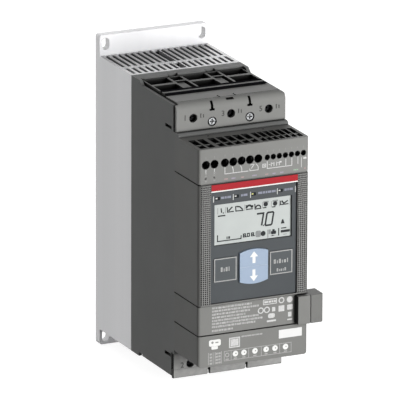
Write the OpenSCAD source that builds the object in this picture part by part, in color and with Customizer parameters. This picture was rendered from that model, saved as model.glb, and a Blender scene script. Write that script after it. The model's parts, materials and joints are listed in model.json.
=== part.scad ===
// Compact soft starter for three-phase motors. A finned heat sink hangs on a wall plate by four
// slots, a moulded power section with clamp terminals at both ends stands on it, and a control
// block with wire terminals, display and keys closes the front.
// X runs to the right, Y towards the wall and Z up. The origin is the middle of the back face.
// A "depth" below is the distance out from the wall, along -Y.

/* [Body] */
// Width over the side walls
body_w = 90; // [88:1:100]
// Height over the mounting ears
flange_h = 245; // [240:1:265]
// Depth of the power section, in front of the heat sink
housing_d = 78; // [76:1:90]
// Depth of the control block, in front of the power section
front_d = 42; // [40:1:52]
// Thickness of the moulded walls
wall = 2.5; // [2:0.1:3]

/* [Heat sink] */
// Depth of the heat sink
sink_d = 65; // [60:1:80]
// Thickness of the mounting flange
flange_t = 7.3; // [5:0.1:8.5]
// Height of the upper ear above the fins
ear_top = 16; // [14:0.5:18]
// Height of the lower ear below the fins
ear_bottom = 12.5; // [12:0.5:15]
// Corner radius of the ears
ear_r = 2; // [1:0.5:4]
// Width of a mounting slot
slot_w = 6.2; // [5:0.1:7]
// Length of a mounting slot
slot_l = 9.5; // [8:0.1:11]
// Distance of a slot's centre from the end of its ear
slot_end = 7; // [6.5:0.1:7.5]
// Distance of a slot's centre from the side
slot_side = 5; // [4.5:0.1:8]
// Least thickness of the heat sink's side walls
sink_side_wall = 2.8; // [2:0.1:4]
// Spacing of the fin channels
channel_pitch = 5.1; // [4.6:0.05:5.2]
// Width of a fin channel
channel_w = 2.6; // [2:0.1:3]
// Width of the middle channel
middle_channel_w = 5.2; // [3:0.1:5.6]
// Depth of the front row of channels
front_channel_d = 16; // [10:1:20]
// Thickness of the wall between the rows of channels
cross_wall = 4; // [2:0.5:6]
// Thickness of the heat sink's front wall
sink_front_wall = 3; // [2.8:0.1:6]
// Thickness of the heat sink's back wall
sink_back_wall = 9; // [8.6:0.1:12]

/* [Power terminals] */
// Distance of the outer poles from the sides
pole_edge = 14; // [13.8:0.1:15]
// Height of the upper terminal block above its floor
line_bay_h = 22; // [20:0.5:26]
// Height of the lower terminal block below its floor
load_bay_h = 18.5; // [18:0.5:24]
// Depth of the rear rim of the power section
rim_d = 10.5; // [9:0.5:14]
// Distance of a clamp screw from the terminal floor
clamp_screw_h = 9.5; // [8:0.5:9.5]
// Diameter of the screwdriver holes over the clamps
driver_hole = 6.6; // [5:0.1:7]
// Distance of a cover screw from the terminal floor
cover_screw_h = 5.2; // [5:0.1:6]
// Diameter of a cover screw's head
cover_screw_head = 6.7; // [5:0.1:7]
// Radius of the terminal covers' outer edge
cover_r = 6; // [4:0.5:8]
// Width of a busbar
bus_w = 14; // [10:0.5:14.5]
// Thickness of a busbar
bus_t = 3; // [2:0.1:4]

/* [Control block] */
// Height of the band with the control terminals
control_band = 26.7; // [24:0.5:30]
// Height of the band with the display and the keys
display_band = 94.1; // [92:0.5:104]
// Height of the rating band
rating_band = 23; // [20:0.5:24]
// Height of the lowest band
lower_band = 25.2; // [22:0.1:28]
// Seam between two bands
seam = 0.9; // [0.5:0.1:1.2]
// Radius of the upright front edges
front_r = 2; // [1:0.5:3]
// How far the display band stands out from the other bands
display_proud = 1.5; // [0.5:0.1:2]
// Radius of the display band's upright edges
display_r = 3.5; // [2:0.5:4]
// Drop of the control holes below the top of the block
hole_drop = 12; // [10:0.5:14]
// Diameter of the large control holes
large_hole = 6; // [5:0.1:6]
// Diameter of the small control holes
small_hole = 3.7; // [3:0.1:3.8]
// Length of the wire slots
wire_slot_l = 20.5; // [16:0.5:22]

/* [Display and keys] */
// Width of the keypad panel
panel_w = 70.6; // [69:0.2:71]
// Thickness of the keypad panel
panel_t = 1.2; // [0.8:0.1:2]
// Depth of the keypad panel's face in its bezel
panel_sink = 2; // [1.6:0.1:2.2]
// Depth of the display behind the panel's face
lcd_sink = 1.8; // [1.2:0.1:2.2]
// Width of the display window
lcd_w = 63.5; // [56:0.5:64]
// Height of the display window
lcd_h = 31.9; // [28:0.5:34]
// Width of a side key
key_w = 18.7; // [15:0.1:18.8]
// Height of a side key
key_h = 18.3; // [14:0.1:20]
// Width of the arrow pad
pad_w = 23.1; // [18:0.1:23.2]
// Height of the arrow pad at its sides
pad_h = 22.4; // [18:0.1:24]
// Rise of the arrow pad's arcs
pad_rise = 2.25; // [1:0.05:3]
// Height of the side keys over the panel
key_proud = 0.5; // [0.3:0.1:0.8]
// Height of the arrow pad over the panel
pad_proud = 1.6; // [0.8:0.1:1.8]
// Travel of a key
key_travel = 0.6; // [0.3:0.1:0.8]

/* [Hidden] */
$fn = 48;

housing_grey = [0.33, 0.33, 0.32];
front_grey = [0.52, 0.52, 0.51];
block_grey = [0.22, 0.22, 0.22];
copper = [0.80, 0.50, 0.34];
steel = [0.75, 0.76, 0.77];
board_green = [0.10, 0.36, 0.24];

// Clearances
slide_gap = 0.3;
seat_gap = 0.15;
screw_gap = 0.1;
cut = 1;

// Main levels, from the wall outwards and along the height
half_w = body_w / 2;
inner_w = half_w - wall;
sink_top = flange_h / 2 - ear_top;
sink_bottom = ear_bottom - flange_h / 2;
side_channels = floor((half_w - sink_side_wall - channel_w / 2) / channel_pitch);
pole_pitch = half_w - pole_edge;
body_mid = (sink_top + sink_bottom) / 2;
housing_front = sink_d + housing_d;
front = housing_front + front_d;

// Terminal bays: both are drawn upwards from a floor at zero, then set at their ends
rim_h = 10.5;
rim_step = 1.5;
rim_lip = 4;
rim_ramp = 4.5;
rim_foot = [6, 3];
rim_notch = [4.2, 3, 7];
rail_drop = 3.5;
rail_rise = 1.7;
line_floor = sink_top - rim_step - line_bay_h;
load_floor = sink_bottom + rim_step + load_bay_h;
side_top = sink_top - rail_drop;
side_low = sink_bottom + rail_rise;
module_d = 26;
block_reach = 26.5;
bus_d = sink_d + module_d;
bus_front = bus_d + bus_t;
block_back = sink_d + rim_d + slide_gap;
block_front = bus_d + block_reach;
block_groove = 1.2;
block_nose = 7;
floor_lip = 1;
roof = 4.5;
clamp_set = 1.5;
clamp_play = 0.5;
clamp_back = block_back + clamp_set;
clamp_front = block_front - block_nose;
clamp_wall = 2;
clamp_nut = 4;
clamp_in = bus_w / 2 + clamp_play;
clamp_out = clamp_in + clamp_wall;
clamp_lip = 0.5;
clamp_thread = 2.5;
clamp_draw = 6.5;
clamp_reach = clamp_front - clamp_draw;
clamp_head_r = 3.4;
clamp_head = 5;
mouth_side = 1.7;
mouth_front = 1.5;
front_recess = 1.2;
rear_recess = 13;
groove_back = 8;
groove_t = 1.6;
groove_h = 2.5;
web = 1.6;
recess_slot = 2;
recess = pole_pitch / 2 - clamp_out - web;
cover_back_gap = 3.2;
cover_back = block_front + cover_back_gap;
line_cover_proud = 2;
load_cover_set = 1.5;
line_cover_front = housing_front + line_cover_proud;
load_cover_front = housing_front - load_cover_set;
cover_side = 0.3;
cover_drop = 0.5;
cover_post_r = 4.5;
cover_slit = 2.3;
cover_pole = pole_pitch / 2;
cover_screw_r = 1.5;
cover_screw_bite = 7;
cover_screw_sink = 3;
cover_head_h = 2.8;
latch_bar = 7.1;
latch_up = 1.5;
latch_down = 2.8;
latch_d = [8.5, 19.5];
latch_h = 2.5;
slit_bar = [2.1, 0.8];
slit_stem = 0.95;
slit_end = 0.9;
spring_slit = [6.5, 0.5];
spring_d = [11, 5.5];
catch = [3, 0.65, 4.9];
bend_line = 0.5;

// Control block
shelf = 3;
shelf_d = 6.5;
shelf_r = 2;
block_top = line_floor - shelf;
block_lift = 1;
block_bottom = load_floor + block_lift;
// What the four bands leave of the block's height is shared among them
band_spare = (block_top - block_bottom - control_band - display_band - rating_band - lower_band) / 4;
control_low = block_top - control_band - band_spare;
display_low = control_low - display_band - band_spare;
rating_low = display_low - rating_band - band_spare;
display_mid = (control_low + display_low) / 2;
rating_mid = (display_low + rating_low) / 2;
control_board_stand = 19;
control_board_d = housing_front + control_board_stand;
board_t = 1.6;
board_play = 0.6;
terminal_d = 18;
terminal_lift = 3.7;
terminal_gap = 1;
terminal_play = 0.2;
wire_mouth = [3, 4, 3.5];
screw_bed = 6;
screw_l = 5;
screw_slot = [1, 0.35];
hole_z = block_top - hole_drop;
large_pitch = 6.8;
small_pitch = 4.95;
large_rim = 0.3;
small_rim = 0.05;
large_edge = large_hole / 2 + large_rim;
small_edge = small_hole / 2 + small_rim;
supply_pitch = 7;
supply_x = -inner_w + large_edge;
relay_step = 15.5;
relay_x = supply_x + relay_step;
relay_ways = 5;
relay_end = relay_x + (relay_ways - 1) * large_pitch + large_edge;
group_gap = 2;
signal_end = inner_w - small_edge;
signal_ways = 1 + floor((signal_end - small_edge - group_gap - relay_end) / small_pitch);
large_slot = 4.4;
small_slot = 3.3;
// Each group of control terminals: first position, pitch, count, hole diameter, slot width
supply = [supply_x, supply_pitch, 2, large_hole, large_slot];
relay = [relay_x, large_pitch, relay_ways, large_hole, large_slot];
signal = [signal_end - (signal_ways - 1) * small_pitch, small_pitch, signal_ways, small_hole, small_slot];
groups = [supply, relay, signal];
slot_inset = 3.5;
slot_rib = 1.2;
slot_rib_at = 0.42;
slot_rib_drop = 1;
mark = 1.6;

// Display panel and keys
panel_edge = 1;
panel_r = 0.8;
strip_top = control_low - seam;
strip_h = 4.8;
strip_t = 0.3;
strip_line = 1;
panel_top = strip_top - strip_h - strip_line;
panel_low = display_low + panel_edge;
face = front + display_proud;
panel_face = face - panel_sink;
panel_seat = panel_face - panel_t;
lcd_drop = 16.3;
lcd_low = strip_top - lcd_drop - lcd_h;
lcd_mid = lcd_low + lcd_h / 2;
lcd_rim = 1.5;
lcd_play = 0.2;
light_drop = 11.4;
light_z = strip_top - light_drop;
light_x = [-30, -14.5, -0.6, 21.5];
light_size = [2.4, 1.6];
light_proud = 0.1;
key_drop = 5.35;
key_z = lcd_low - key_drop - pad_rise - pad_h / 2;
key_gap = 2;
key_corner = 1.2;
key_x = pad_w / 2 + key_gap + key_w / 2;
pad_radius = (pow(pad_w / 2, 2) + pow(pad_rise, 2)) / (2 * pad_rise);
pad_split = 0.3;
key_flange = 0.7;
key_flange_t = 1.1;
key_seat = panel_seat - wall - slide_gap;
key_back = key_seat - key_flange_t;
display_board_stand = 11;
display_board_d = panel_seat - display_board_stand;
display_face = display_board_d + board_t;
switch_h = 3.6;
switch_w = 6;
switch_floor = 1;
stem_r = 1.5;
stem_room = 0.7;
stem_end = display_face + switch_floor + key_travel + stem_room;
grille_side = 1.2;
grille_gap = 0.3;
grille_w = half_w - grille_side - panel_w / 2 - grille_gap;
grille_t = 1.6;
grille_end = 0.8;
grille_row = 1.55;
grille_ridge = 0.42;

// Port plug at the right of the rating band
plug_w = 10.2;
plug_proud = 5.6;
plug_play = 0.3;
plug_h = display_low - rating_low - seam - plug_play;
plug_side_d = 9.5;
plug_tongue = [4.4, 9];
plug_chamfer = 1.6;
plug_seam = [0.6, 1.5];
socket_wall = 1.4;
socket_side = 0.4;
socket_depth = 8;
plug_bite = 6;
plug_x = inner_w - plug_tongue[0] / 2 - socket_wall - socket_side;

// Ready shapes
module plan(z) { translate([0, 0, z[0]]) mirror([0, 1, 0]) linear_extrude(z[1] - z[0]) children(); }
module facing(d) { translate([0, -d[0], 0]) rotate([90, 0, 0]) linear_extrude(d[1] - d[0]) children(); }
module across(x) { translate([x[1], 0, 0]) rotate([90, 0, -90]) linear_extrude(x[1] - x[0]) children(); }
module box(x, d, z) { translate([x[0], -d[1], z[0]]) cube([x[1] - x[0], d[1] - d[0], z[1] - z[0]]); }
module rod(x, z, d, r) { translate([x, -d[0], z]) rotate([90, 0, 0]) cylinder(h = d[1] - d[0], r = r); }
module area(a, b) { translate([a[0], b[0]]) square([a[1] - a[0], b[1] - b[0]]); }
module rounded(w, h, r) {
    square([w - 2 * r, h], center = true);
    square([w, h - 2 * r], center = true);
    for (x = [-1, 1], y = [-1, 1]) translate([x * (w / 2 - r), y * (h / 2 - r)]) circle(r);
}
module oblong(w, l) {
    square([w, l - w], center = true);
    for (y = [-1, 1]) translate([0, y * (l - w) / 2]) circle(w / 2);
}
function around(x, half) = [x - half, x + half];
function pole(i) = (i - 2) * pole_pitch;

// A round-headed screw along the depth: shank from the tip to the head's seat, then the head
module pan_screw(x, z, tip, seat, shank_r, head_r, head_h) {
    difference() {
        union() {
            rod(x, z, [tip, seat + head_h / 2], shank_r);
            rod(x, z, [seat, seat + head_h * 0.6], head_r);
            rod(x, z, [seat, seat + head_h], head_r * 0.8);
        }
        for (arm = [[0.55, 0.13], [0.13, 0.55]])
            box(around(x, head_r * arm[0]), [seat + head_h * 0.45, seat + head_h + cut],
                around(z, head_r * arm[1]));
    }
}
module at_line() { translate([0, 0, line_floor]) children(); }
module at_load() { translate([0, 0, load_floor]) mirror([0, 0, 1]) children(); }

// Places of the fasteners inside
module_h = 46;
module_body_h = 33;
module_foot = 5;
module_screw_end = 6;
module_screw_r = 2;
module_screw_head = [3.8, 3];
post_in = 5;
post_half = 5;
post_gap = 14;
post_side = 1.5;
post_x = inner_w - post_in;
post_z = [for (s = [-1, 1]) body_mid + s * (module_h + post_gap)];
post_d = 12;
post_screw_r = 1.6;
post_screw_head = [3, 2.4];
screw_end_gap = 0.2;
screw_tip = sink_d - sink_front_wall + 2 * screw_end_gap;
module_screw_z = [for (s = [-1, 1]) body_mid + s * (module_h - module_screw_end)];
board_post_r = 3.5;
board_screw_r = 1.15;
board_screw_head = 2.4;
board_screw_l = 5;
board_head_h = 1.8;
board_hole_l = 8;
power_post = [cover_pole, module_h + post_gap];
power_post_h = 11;
power_board_d = housing_front - wall - power_post_h;
power_board_end = 8;
power_board_side = 2;
control_post_drop = [9, 6];
control_post = [inner_w - post_in, control_low - control_post_drop[0], rating_low - control_post_drop[1]];
control_board_end = 6;
display_post_r = 3;
display_post_end = 9.05;
display_post = [inner_w - display_post_r - slide_gap, (control_low - display_low) / 2 - display_post_end];
display_board_end = 5;
display_hole_l = 4.5;
window = [14, 12];

// Heat sink: a closed extrusion with two rows of air channels, and the flange with its ears
module sink_section() {
    back_row = [sink_back_wall, sink_d - sink_front_wall - front_channel_d - cross_wall];
    front_row = [sink_d - sink_front_wall - front_channel_d, sink_d - sink_front_wall];
    difference() {
        area([-half_w, half_w], [0, sink_d]);
        for (i = [-side_channels : side_channels], row = [back_row, front_row])
            area(around(i * channel_pitch, (i == 0 ? middle_channel_w : channel_w) / 2), row);
    }
}
module heat_sink() {
    slot_x = half_w - slot_side;
    slot_z = flange_h / 2 - slot_end;
    screw_hole = [screw_tip - screw_end_gap, sink_d + cut];
    color("gainsboro") difference() {
        union() {
            facing([0, flange_t]) rounded(body_w, flange_h, ear_r);
            plan([sink_bottom, sink_top]) sink_section();
        }
        for (x = [-1, 1], z = [-1, 1])
            facing([-cut, flange_t + cut]) translate([x * slot_x, z * slot_z]) oblong(slot_w, slot_l);
        for (x = [-1, 1], z = post_z) rod(x * post_x, z, screw_hole, post_screw_r + screw_gap);
        for (x = [-1, 1], z = module_screw_z)
            rod(x * pole_pitch, z, screw_hole, module_screw_r + screw_gap);
    }
}

// Main housing: side walls, the partition behind the control block, the two terminal floors
// and the rims that close it on the heat sink
module side_section() {
    rim_end = sink_d + rim_d + rim_lip;
    foot = [rim_end + rim_foot[0], sink_bottom + rim_foot[1]];
    line_edge = line_cover_front - wall - cover_slit;
    load_edge = load_cover_front - wall - cover_slit / 2;
    polygon([
        [sink_d, sink_bottom], [rim_end, sink_bottom],
        [rim_end, foot[1]], foot, [foot[0], side_low],
        [load_edge, side_low], [load_edge, load_floor], [housing_front, load_floor],
        [housing_front, line_floor - cover_side], [line_edge, line_floor - cover_side],
        [line_edge, side_top], [rim_end + rim_ramp, side_top], [rim_end, sink_top], [sink_d, sink_top]]);
}
module shelf_section() {
    top = line_floor - cover_side;
    polygon([
        [housing_front - wall, block_top], [housing_front + shelf_d, block_top],
        [housing_front + shelf_d, block_top + shelf / 2], [housing_front + shelf_d - shelf_r, top],
        [housing_front - wall, top]]);
}
module main_housing() {
    span = [-half_w + wall / 2, half_w - wall / 2];
    bus_slot = [bus_d - slide_gap, bus_front + slide_gap];
    color(housing_grey) difference() {
        union() {
            for (s = [-1, 1]) across(around(s * (half_w - wall / 2), wall / 2)) side_section();
            across([-half_w, half_w]) shelf_section();
            box(span, [housing_front - wall, housing_front], [load_floor, line_floor - cover_side]);
            box(span, [sink_d, housing_front - wall / 2], [line_floor - wall, line_floor - cover_side]);
            box(span, [sink_d, block_front + floor_lip], [line_floor - wall, line_floor]);
            box(span, [sink_d, housing_front - wall / 2], [load_floor, load_floor + wall]);
            box(span, [sink_d, sink_d + rim_d], [sink_top - rim_h, sink_top]);
            box(span, [sink_d, sink_d + rim_d], [sink_bottom, sink_bottom + rim_h]);
            for (s = [-1, 1], z = post_z)
                box(around(s * (post_x + post_side), post_half), [sink_d, sink_d + post_d],
                    around(z, post_half));
            for (s = [-1, 1], t = [-1, 1])
                rod(s * power_post[0], body_mid + t * power_post[1],
                    [power_board_d, housing_front - wall / 2], board_post_r);
            for (s = [-1, 1], z = [control_post[1], control_post[2]])
                rod(s * control_post[0], z, [housing_front - wall / 2, control_board_d], board_post_r);
        }
        for (i = [1 : 3], floor = [line_floor, load_floor])
            box(around(pole(i), bus_w / 2 + slide_gap), bus_slot, around(floor, wall + cut));
        for (s = [-1, 1], z = [line_floor + latch_up, load_floor - latch_down])
            box(around(s * half_w, wall + cut), [block_front + latch_d[0], block_front + latch_d[1]],
                around(z, latch_h / 2));
        for (s = [-1, 1])
            box(around(s * cover_pole, rim_notch[0]), [sink_d + rim_d - rim_notch[1], sink_d + rim_d + cut],
                [sink_top - rim_notch[2], sink_top + cut]);
        box(around(0, window[0]), [housing_front - wall - cut, housing_front + cut],
            around(body_mid, window[1]));
        for (s = [-1, 1], z = post_z)
            rod(s * post_x, z, [sink_d - cut, sink_d + post_d + cut], post_screw_r + screw_gap);
        for (s = [-1, 1], t = [-1, 1])
            rod(s * power_post[0], body_mid + t * power_post[1],
                [power_board_d - cut, power_board_d + board_hole_l], board_screw_r + screw_gap);
        for (s = [-1, 1], z = [control_post[1], control_post[2]])
            rod(s * control_post[0], z, [control_board_d - board_hole_l, control_board_d + cut],
                board_screw_r + screw_gap);
    }
}
module housing_screws() {
    color(steel) for (s = [-1, 1], z = post_z)
        pan_screw(s * post_x, z, screw_tip, sink_d + post_d, post_screw_r, post_screw_head[0],
            post_screw_head[1]);
}

// Terminal block: per pole a cavity for the clamp and two cable mouths through the roof
module terminal_block(h) {
    side = inner_w - block_groove;
    clamp_h = h - roof - slide_gap;
    mouth = clamp_in + mouth_side;
    color(block_grey) difference() {
        box([-side, side], [block_back, block_front], [0, h]);
        for (i = [1 : 3]) {
            box(around(pole(i), clamp_out + slide_gap), [clamp_back - slide_gap, clamp_front + slide_gap],
                [-cut, h - roof]);
            box(around(pole(i), mouth), [clamp_back, bus_d - clamp_lip], [clamp_h, h + cut]);
            box(around(pole(i), mouth), [bus_front + clamp_lip, clamp_front - clamp_nut + mouth_front],
                [clamp_h, h + cut]);
            rod(pole(i), clamp_screw_h, [clamp_front, block_front + cut], clamp_thread + 2 * slide_gap);
        }
        for (s = [-1, 1]) {
            box(around(s * cover_pole, recess), [bus_d - clamp_wall, clamp_front - clamp_lip],
                [h - front_recess, h + cut]);
            box([s * cover_pole + recess - recess_slot, s * cover_pole + recess],
                [bus_d - clamp_wall, clamp_front - clamp_lip], [h - rear_recess, h + cut]);
            box(around(s * cover_pole, recess), [block_back + groove_t, bus_d - clamp_nut],
                [h - rear_recess, h + cut]);
            rod(s * cover_pole, cover_screw_h, [block_front - cover_screw_bite - cut, block_front + cut],
                cover_screw_r + screw_gap);
        }
        box([-half_w, half_w], around(block_front - groove_back + groove_t / 2, groove_t / 2),
            [h - groove_h, h + cut]);
    }
}
module line_terminal_block() { at_line() terminal_block(line_bay_h); }
module load_terminal_block() { at_load() terminal_block(load_bay_h); }

// Terminal cover: a bent sheet with screwdriver holes, posts for its screws and a spring latch
module hood(d, h, r) {
    area([cover_back, d - r], [cover_side, h]);
    area([cover_back, d], [cover_side, h - r]);
    translate([d - r, h - r]) circle(r);
}
module terminal_cover(d, bay_h) {
    h = bay_h - cover_drop;
    bar = h - latch_bar;
    color(front_grey) difference() {
        union() {
            across([-half_w + cover_side, half_w - cover_side]) intersection() {
                hood(d, h, cover_r);
                area([d - wall, d], [0, h]);
            }
            across([-inner_w + slide_gap, inner_w - slide_gap]) difference() {
                hood(d, h, cover_r);
                translate([-wall, -wall]) hood(d, h, cover_r - wall / 2);
                area([cover_back - cut, cover_back + wall], [-cut, h - wall]);
                area([cover_back - cut, d - wall], [-cut, cover_side + cut]);
            }
            for (s = [-1, 1]) rod(s * cover_pole, cover_screw_h, [block_front, d - wall / 2], cover_post_r);
        }
        for (i = [1 : 3]) rod(pole(i), clamp_screw_h, [d - wall - cut, d + cut], driver_hole / 2);
        for (s = [-1, 1]) {
            rod(s * cover_pole, cover_screw_h, [block_front - cut, d + cut], cover_screw_r + screw_gap);
            rod(s * cover_pole, cover_screw_h, [d - cover_screw_sink, d + cut],
                cover_screw_head / 2 + slide_gap);
            box(around(s * cover_pole, slit_bar[0]), [d - wall - cut, d + cut], around(bar, slit_bar[1]));
            box(around(s * cover_pole, slit_stem), [d - cover_r, d + cut], [bar, h - slit_end]);
            box(around(s * spring_slit[0], spring_slit[1]), [d - spring_d[0], d - spring_d[1]],
                [h - wall - cut, h + cut]);
        }
        box(around(0, catch[0]), [d - cover_r, d + cut], around(h - cover_r + catch[2], catch[1]));
        box([-half_w, half_w], [d - cover_r - bend_line, d - cover_r], [h - bend_line, h + cut]);
    }
}
module line_terminal_cover() { at_line() terminal_cover(line_cover_front, line_bay_h); }
module load_terminal_cover() { at_load() terminal_cover(load_cover_front, load_bay_h); }
module cover_screw_pair(d) {
    tip = block_front - cover_screw_bite;
    for (s = [-1, 1])
        pan_screw(s * cover_pole, cover_screw_h, tip, d - cover_screw_sink, cover_screw_r,
            cover_screw_head / 2, cover_head_h);
}
module cover_screws() {
    color(steel) at_line() cover_screw_pair(line_cover_front);
    color(steel) at_load() cover_screw_pair(load_cover_front);
}

// Frame clamp: a bent steel frame round the busbar, closed by a screw from the front
module frame_clamp(i, h) {
    color(steel) difference() {
        plan([0, h - roof - slide_gap]) difference() {
            area(around(pole(i), clamp_out), [clamp_back, clamp_front]);
            area(around(pole(i), clamp_in), [clamp_back + clamp_wall, clamp_front - clamp_nut]);
        }
        rod(pole(i), clamp_screw_h, [clamp_front - clamp_nut - cut, clamp_front + cut],
            clamp_thread + screw_gap);
    }
}
module line_clamp(i) { at_line() frame_clamp(i, line_bay_h); }
module load_clamp(i) { at_load() frame_clamp(i, load_bay_h); }
module clamp_screw_row(d) {
    seat = d - wall - clamp_wall - clamp_head;
    for (i = [1 : 3])
        pan_screw(pole(i), clamp_screw_h, clamp_reach, seat, clamp_thread, clamp_head_r, clamp_head);
}
module clamp_screws() {
    color(steel) at_line() clamp_screw_row(line_cover_front);
    color(steel) at_load() clamp_screw_row(load_cover_front);
}

// Busbars: flat copper from the clamps to the power modules, and straight through in the middle
bus_inner = 10;
bus_margin = 1;
module busbar(i, z) { color(copper) box(around(pole(i), bus_w / 2), [bus_d, bus_front], z); }
line_end = line_floor + line_bay_h - roof - bus_margin;
load_end = load_floor - load_bay_h + roof + bus_margin;
module line_busbar(i) { busbar(i, [body_mid + bus_inner, line_end]); }
module load_busbar(i) { busbar(i, [load_end, body_mid - bus_inner]); }
module through_busbar_2() { busbar(2, [load_end, line_end]); }

// Power parts on the heat sink
power_w = 10.5;
module_groove = 4;
relay_d = 30;
relay_half = 24;
relay_groove = 3;
ring_d = 10;
ring_h = 16;
ring_play = 0.4;
module thyristor_module(i) {
    x = pole(i);
    color([0.16, 0.16, 0.17]) difference() {
        union() {
            box(around(x, power_w), [sink_d, sink_d + module_foot], around(body_mid, module_h));
            box(around(x, power_w), [sink_d, bus_d], around(body_mid, module_body_h));
        }
        for (z = module_screw_z)
            rod(x, z, [sink_d - cut, sink_d + module_foot + cut], module_screw_r + screw_gap);
        box(around(x, power_w + cut), [bus_d - module_groove, bus_d + cut],
            around(body_mid, module_groove));
    }
}
module module_screws() {
    color(steel) for (s = [-1, 1], z = module_screw_z)
        pan_screw(s * pole_pitch, z, screw_tip, sink_d + module_foot, module_screw_r,
            module_screw_head[0], module_screw_head[1]);
}
module bypass_relay(i) {
    color([0.12, 0.14, 0.17]) difference() {
        box(around(pole(i), power_w), [bus_front, bus_front + relay_d], around(body_mid, relay_half));
        box(around(pole(i), power_w + cut), [bus_front + relay_d - relay_groove, bus_front + relay_d + cut],
            around(body_mid, relay_groove));
    }
}
module current_transformer(i) {
    top = load_floor + wall;
    color([0.14, 0.17, 0.22]) difference() {
        box(around(pole(i), power_w), [bus_d - ring_d, bus_front + ring_d], [top, top + ring_h]);
        box(around(pole(i), bus_w / 2 + ring_play), [bus_d - ring_play, bus_front + ring_play],
            [top - cut, top + ring_h + cut]);
    }
}

// Circuit boards and their screws
module power_board() {
    color(board_green) difference() {
        box(around(0, inner_w - power_board_side), [power_board_d - board_t, power_board_d],
            around(body_mid, power_post[1] + power_board_end));
        for (s = [-1, 1], t = [-1, 1])
            rod(s * power_post[0], body_mid + t * power_post[1], around(power_board_d, board_t + cut),
                board_screw_r + screw_gap);
    }
}
module control_board() {
    color(board_green) difference() {
        box(around(0, inner_w - board_play), [control_board_d, control_board_d + board_t],
            [control_post[2] - control_board_end, block_top - wall - board_play]);
        for (s = [-1, 1], z = [control_post[1], control_post[2]])
            rod(s * control_post[0], z, around(control_board_d, board_t + cut), board_screw_r + screw_gap);
    }
}
module display_board() {
    color(board_green) difference() {
        box(around(0, inner_w - board_play), [display_board_d, display_face],
            around(display_mid, display_post[1] + display_board_end));
        for (s = [-1, 1], t = [-1, 1])
            rod(s * display_post[0], display_mid + t * display_post[1], around(display_face, board_t + cut),
                board_screw_r + screw_gap);
    }
}
module board_screw(x, z, seat, way) {
    tip = seat - way * board_screw_l;
    top = seat + way * board_head_h;
    rod(x, z, [min(seat, tip), max(seat, tip)], board_screw_r);
    rod(x, z, [min(seat, top), max(seat, top)], board_screw_head);
}
module board_screws() {
    color(steel) for (s = [-1, 1], t = [-1, 1]) {
        board_screw(s * power_post[0], body_mid + t * power_post[1], power_board_d - board_t, -1);
        board_screw(s * control_post[0], control_post[t > 0 ? 1 : 2], control_board_d + board_t, 1);
        board_screw(s * display_post[0], display_mid + t * display_post[1], display_board_d, -1);
    }
}

// Control block: four snapped-on mouldings, one above the other, flush at the sides
module block_outline(d, r) {
    area([-half_w, half_w], [housing_front, d - r]);
    area([-half_w + r, half_w - r], [housing_front, d]);
    for (s = [-1, 1]) translate([s * (half_w - r), d - r]) circle(r);
}
module band_wall() {
    difference() {
        block_outline(front, front_r);
        area([-inner_w, inner_w], [housing_front - cut, front - wall]);
    }
}
module control_cover() {
    slot = [front - slot_inset - wire_slot_l, front - slot_inset];
    rib = around(slot[1] - slot_rib_at * wire_slot_l, slot_rib / 2);
    through = [block_top - wall - cut, block_top + cut];
    color(front_grey) difference() {
        union() {
            plan([control_low, block_top]) band_wall();
            plan([block_top - wall, block_top]) block_outline(front, front_r);
        }
        for (g = groups, k = [0 : g[2] - 1]) {
            x = g[0] + k * g[1];
            rod(x, hole_z, [front - wall - cut, front + cut], g[3] / 2);
            box(around(x, g[4] / 2), [slot[0], rib[0]], through);
            box(around(x, g[4] / 2), [rib[1], slot[1]], through);
            box(around(x, g[4] / 2), slot, [block_top - slot_rib_drop, block_top + cut]);
        }
        for (s = [-1, 1])
            box(around(s * half_w / 2, mark / 2), around(housing_front + shelf_d + slot_inset, mark / 2),
                [block_top - mark, block_top + cut]);
    }
}
module key_outline(grow) { rounded(key_w + 2 * grow, key_h + 2 * grow, key_corner + grow); }
module pad_outline(grow) {
    apex = pad_h / 2 + pad_rise;
    intersection() {
        square([pad_w + 2 * grow, 2 * (apex + grow)], center = true);
        translate([0, apex - pad_radius]) circle(pad_radius + grow);
        translate([0, pad_radius - apex]) circle(pad_radius + grow);
    }
}
module panel_outline(grow) {
    translate([0, (panel_top + panel_low) / 2])
        rounded(panel_w + 2 * grow, panel_top - panel_low + 2 * grow, panel_r + grow);
}
// Everything that passes through the panel and the frame behind it
module panel_openings() {
    translate([0, lcd_mid]) square([lcd_w, lcd_h], center = true);
    for (x = light_x) translate([x, light_z]) square(light_size + 2 * [seat_gap, seat_gap], center = true);
    for (s = [-1, 1]) translate([s * key_x, key_z]) key_outline(slide_gap);
    translate([0, key_z]) pad_outline(slide_gap);
}
module grille_bed(s, gap) {
    area(around(s * (half_w - grille_side - grille_w / 2), grille_w / 2 + gap),
        [display_low + grille_end - gap, strip_top - grille_end + gap]);
}
module display_frame() {
    back = face - grille_t;
    color(front_grey) difference() {
        union() {
            plan([display_low, strip_top]) difference() {
                block_outline(face, display_r);
                area([-inner_w, inner_w], [housing_front - cut, back - wall]);
            }
            box(around(0, panel_w / 2 + wall), [panel_seat - wall, face - wall], [display_low, strip_top]);
            for (s = [-1, 1], t = [-1, 1])
                rod(s * display_post[0], display_mid + t * display_post[1], [display_face, back - wall / 2],
                    display_post_r);
        }
        facing([panel_seat, face + cut]) panel_outline(seat_gap);
        facing([panel_seat - wall - cut, panel_seat + cut]) panel_openings();
        for (s = [-1, 1]) facing([back, face + cut]) grille_bed(s, seat_gap);
        for (s = [-1, 1], t = [-1, 1])
            rod(s * display_post[0], display_mid + t * display_post[1],
                [display_face - cut, display_face + display_hole_l], board_screw_r + screw_gap);
    }
}
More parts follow.
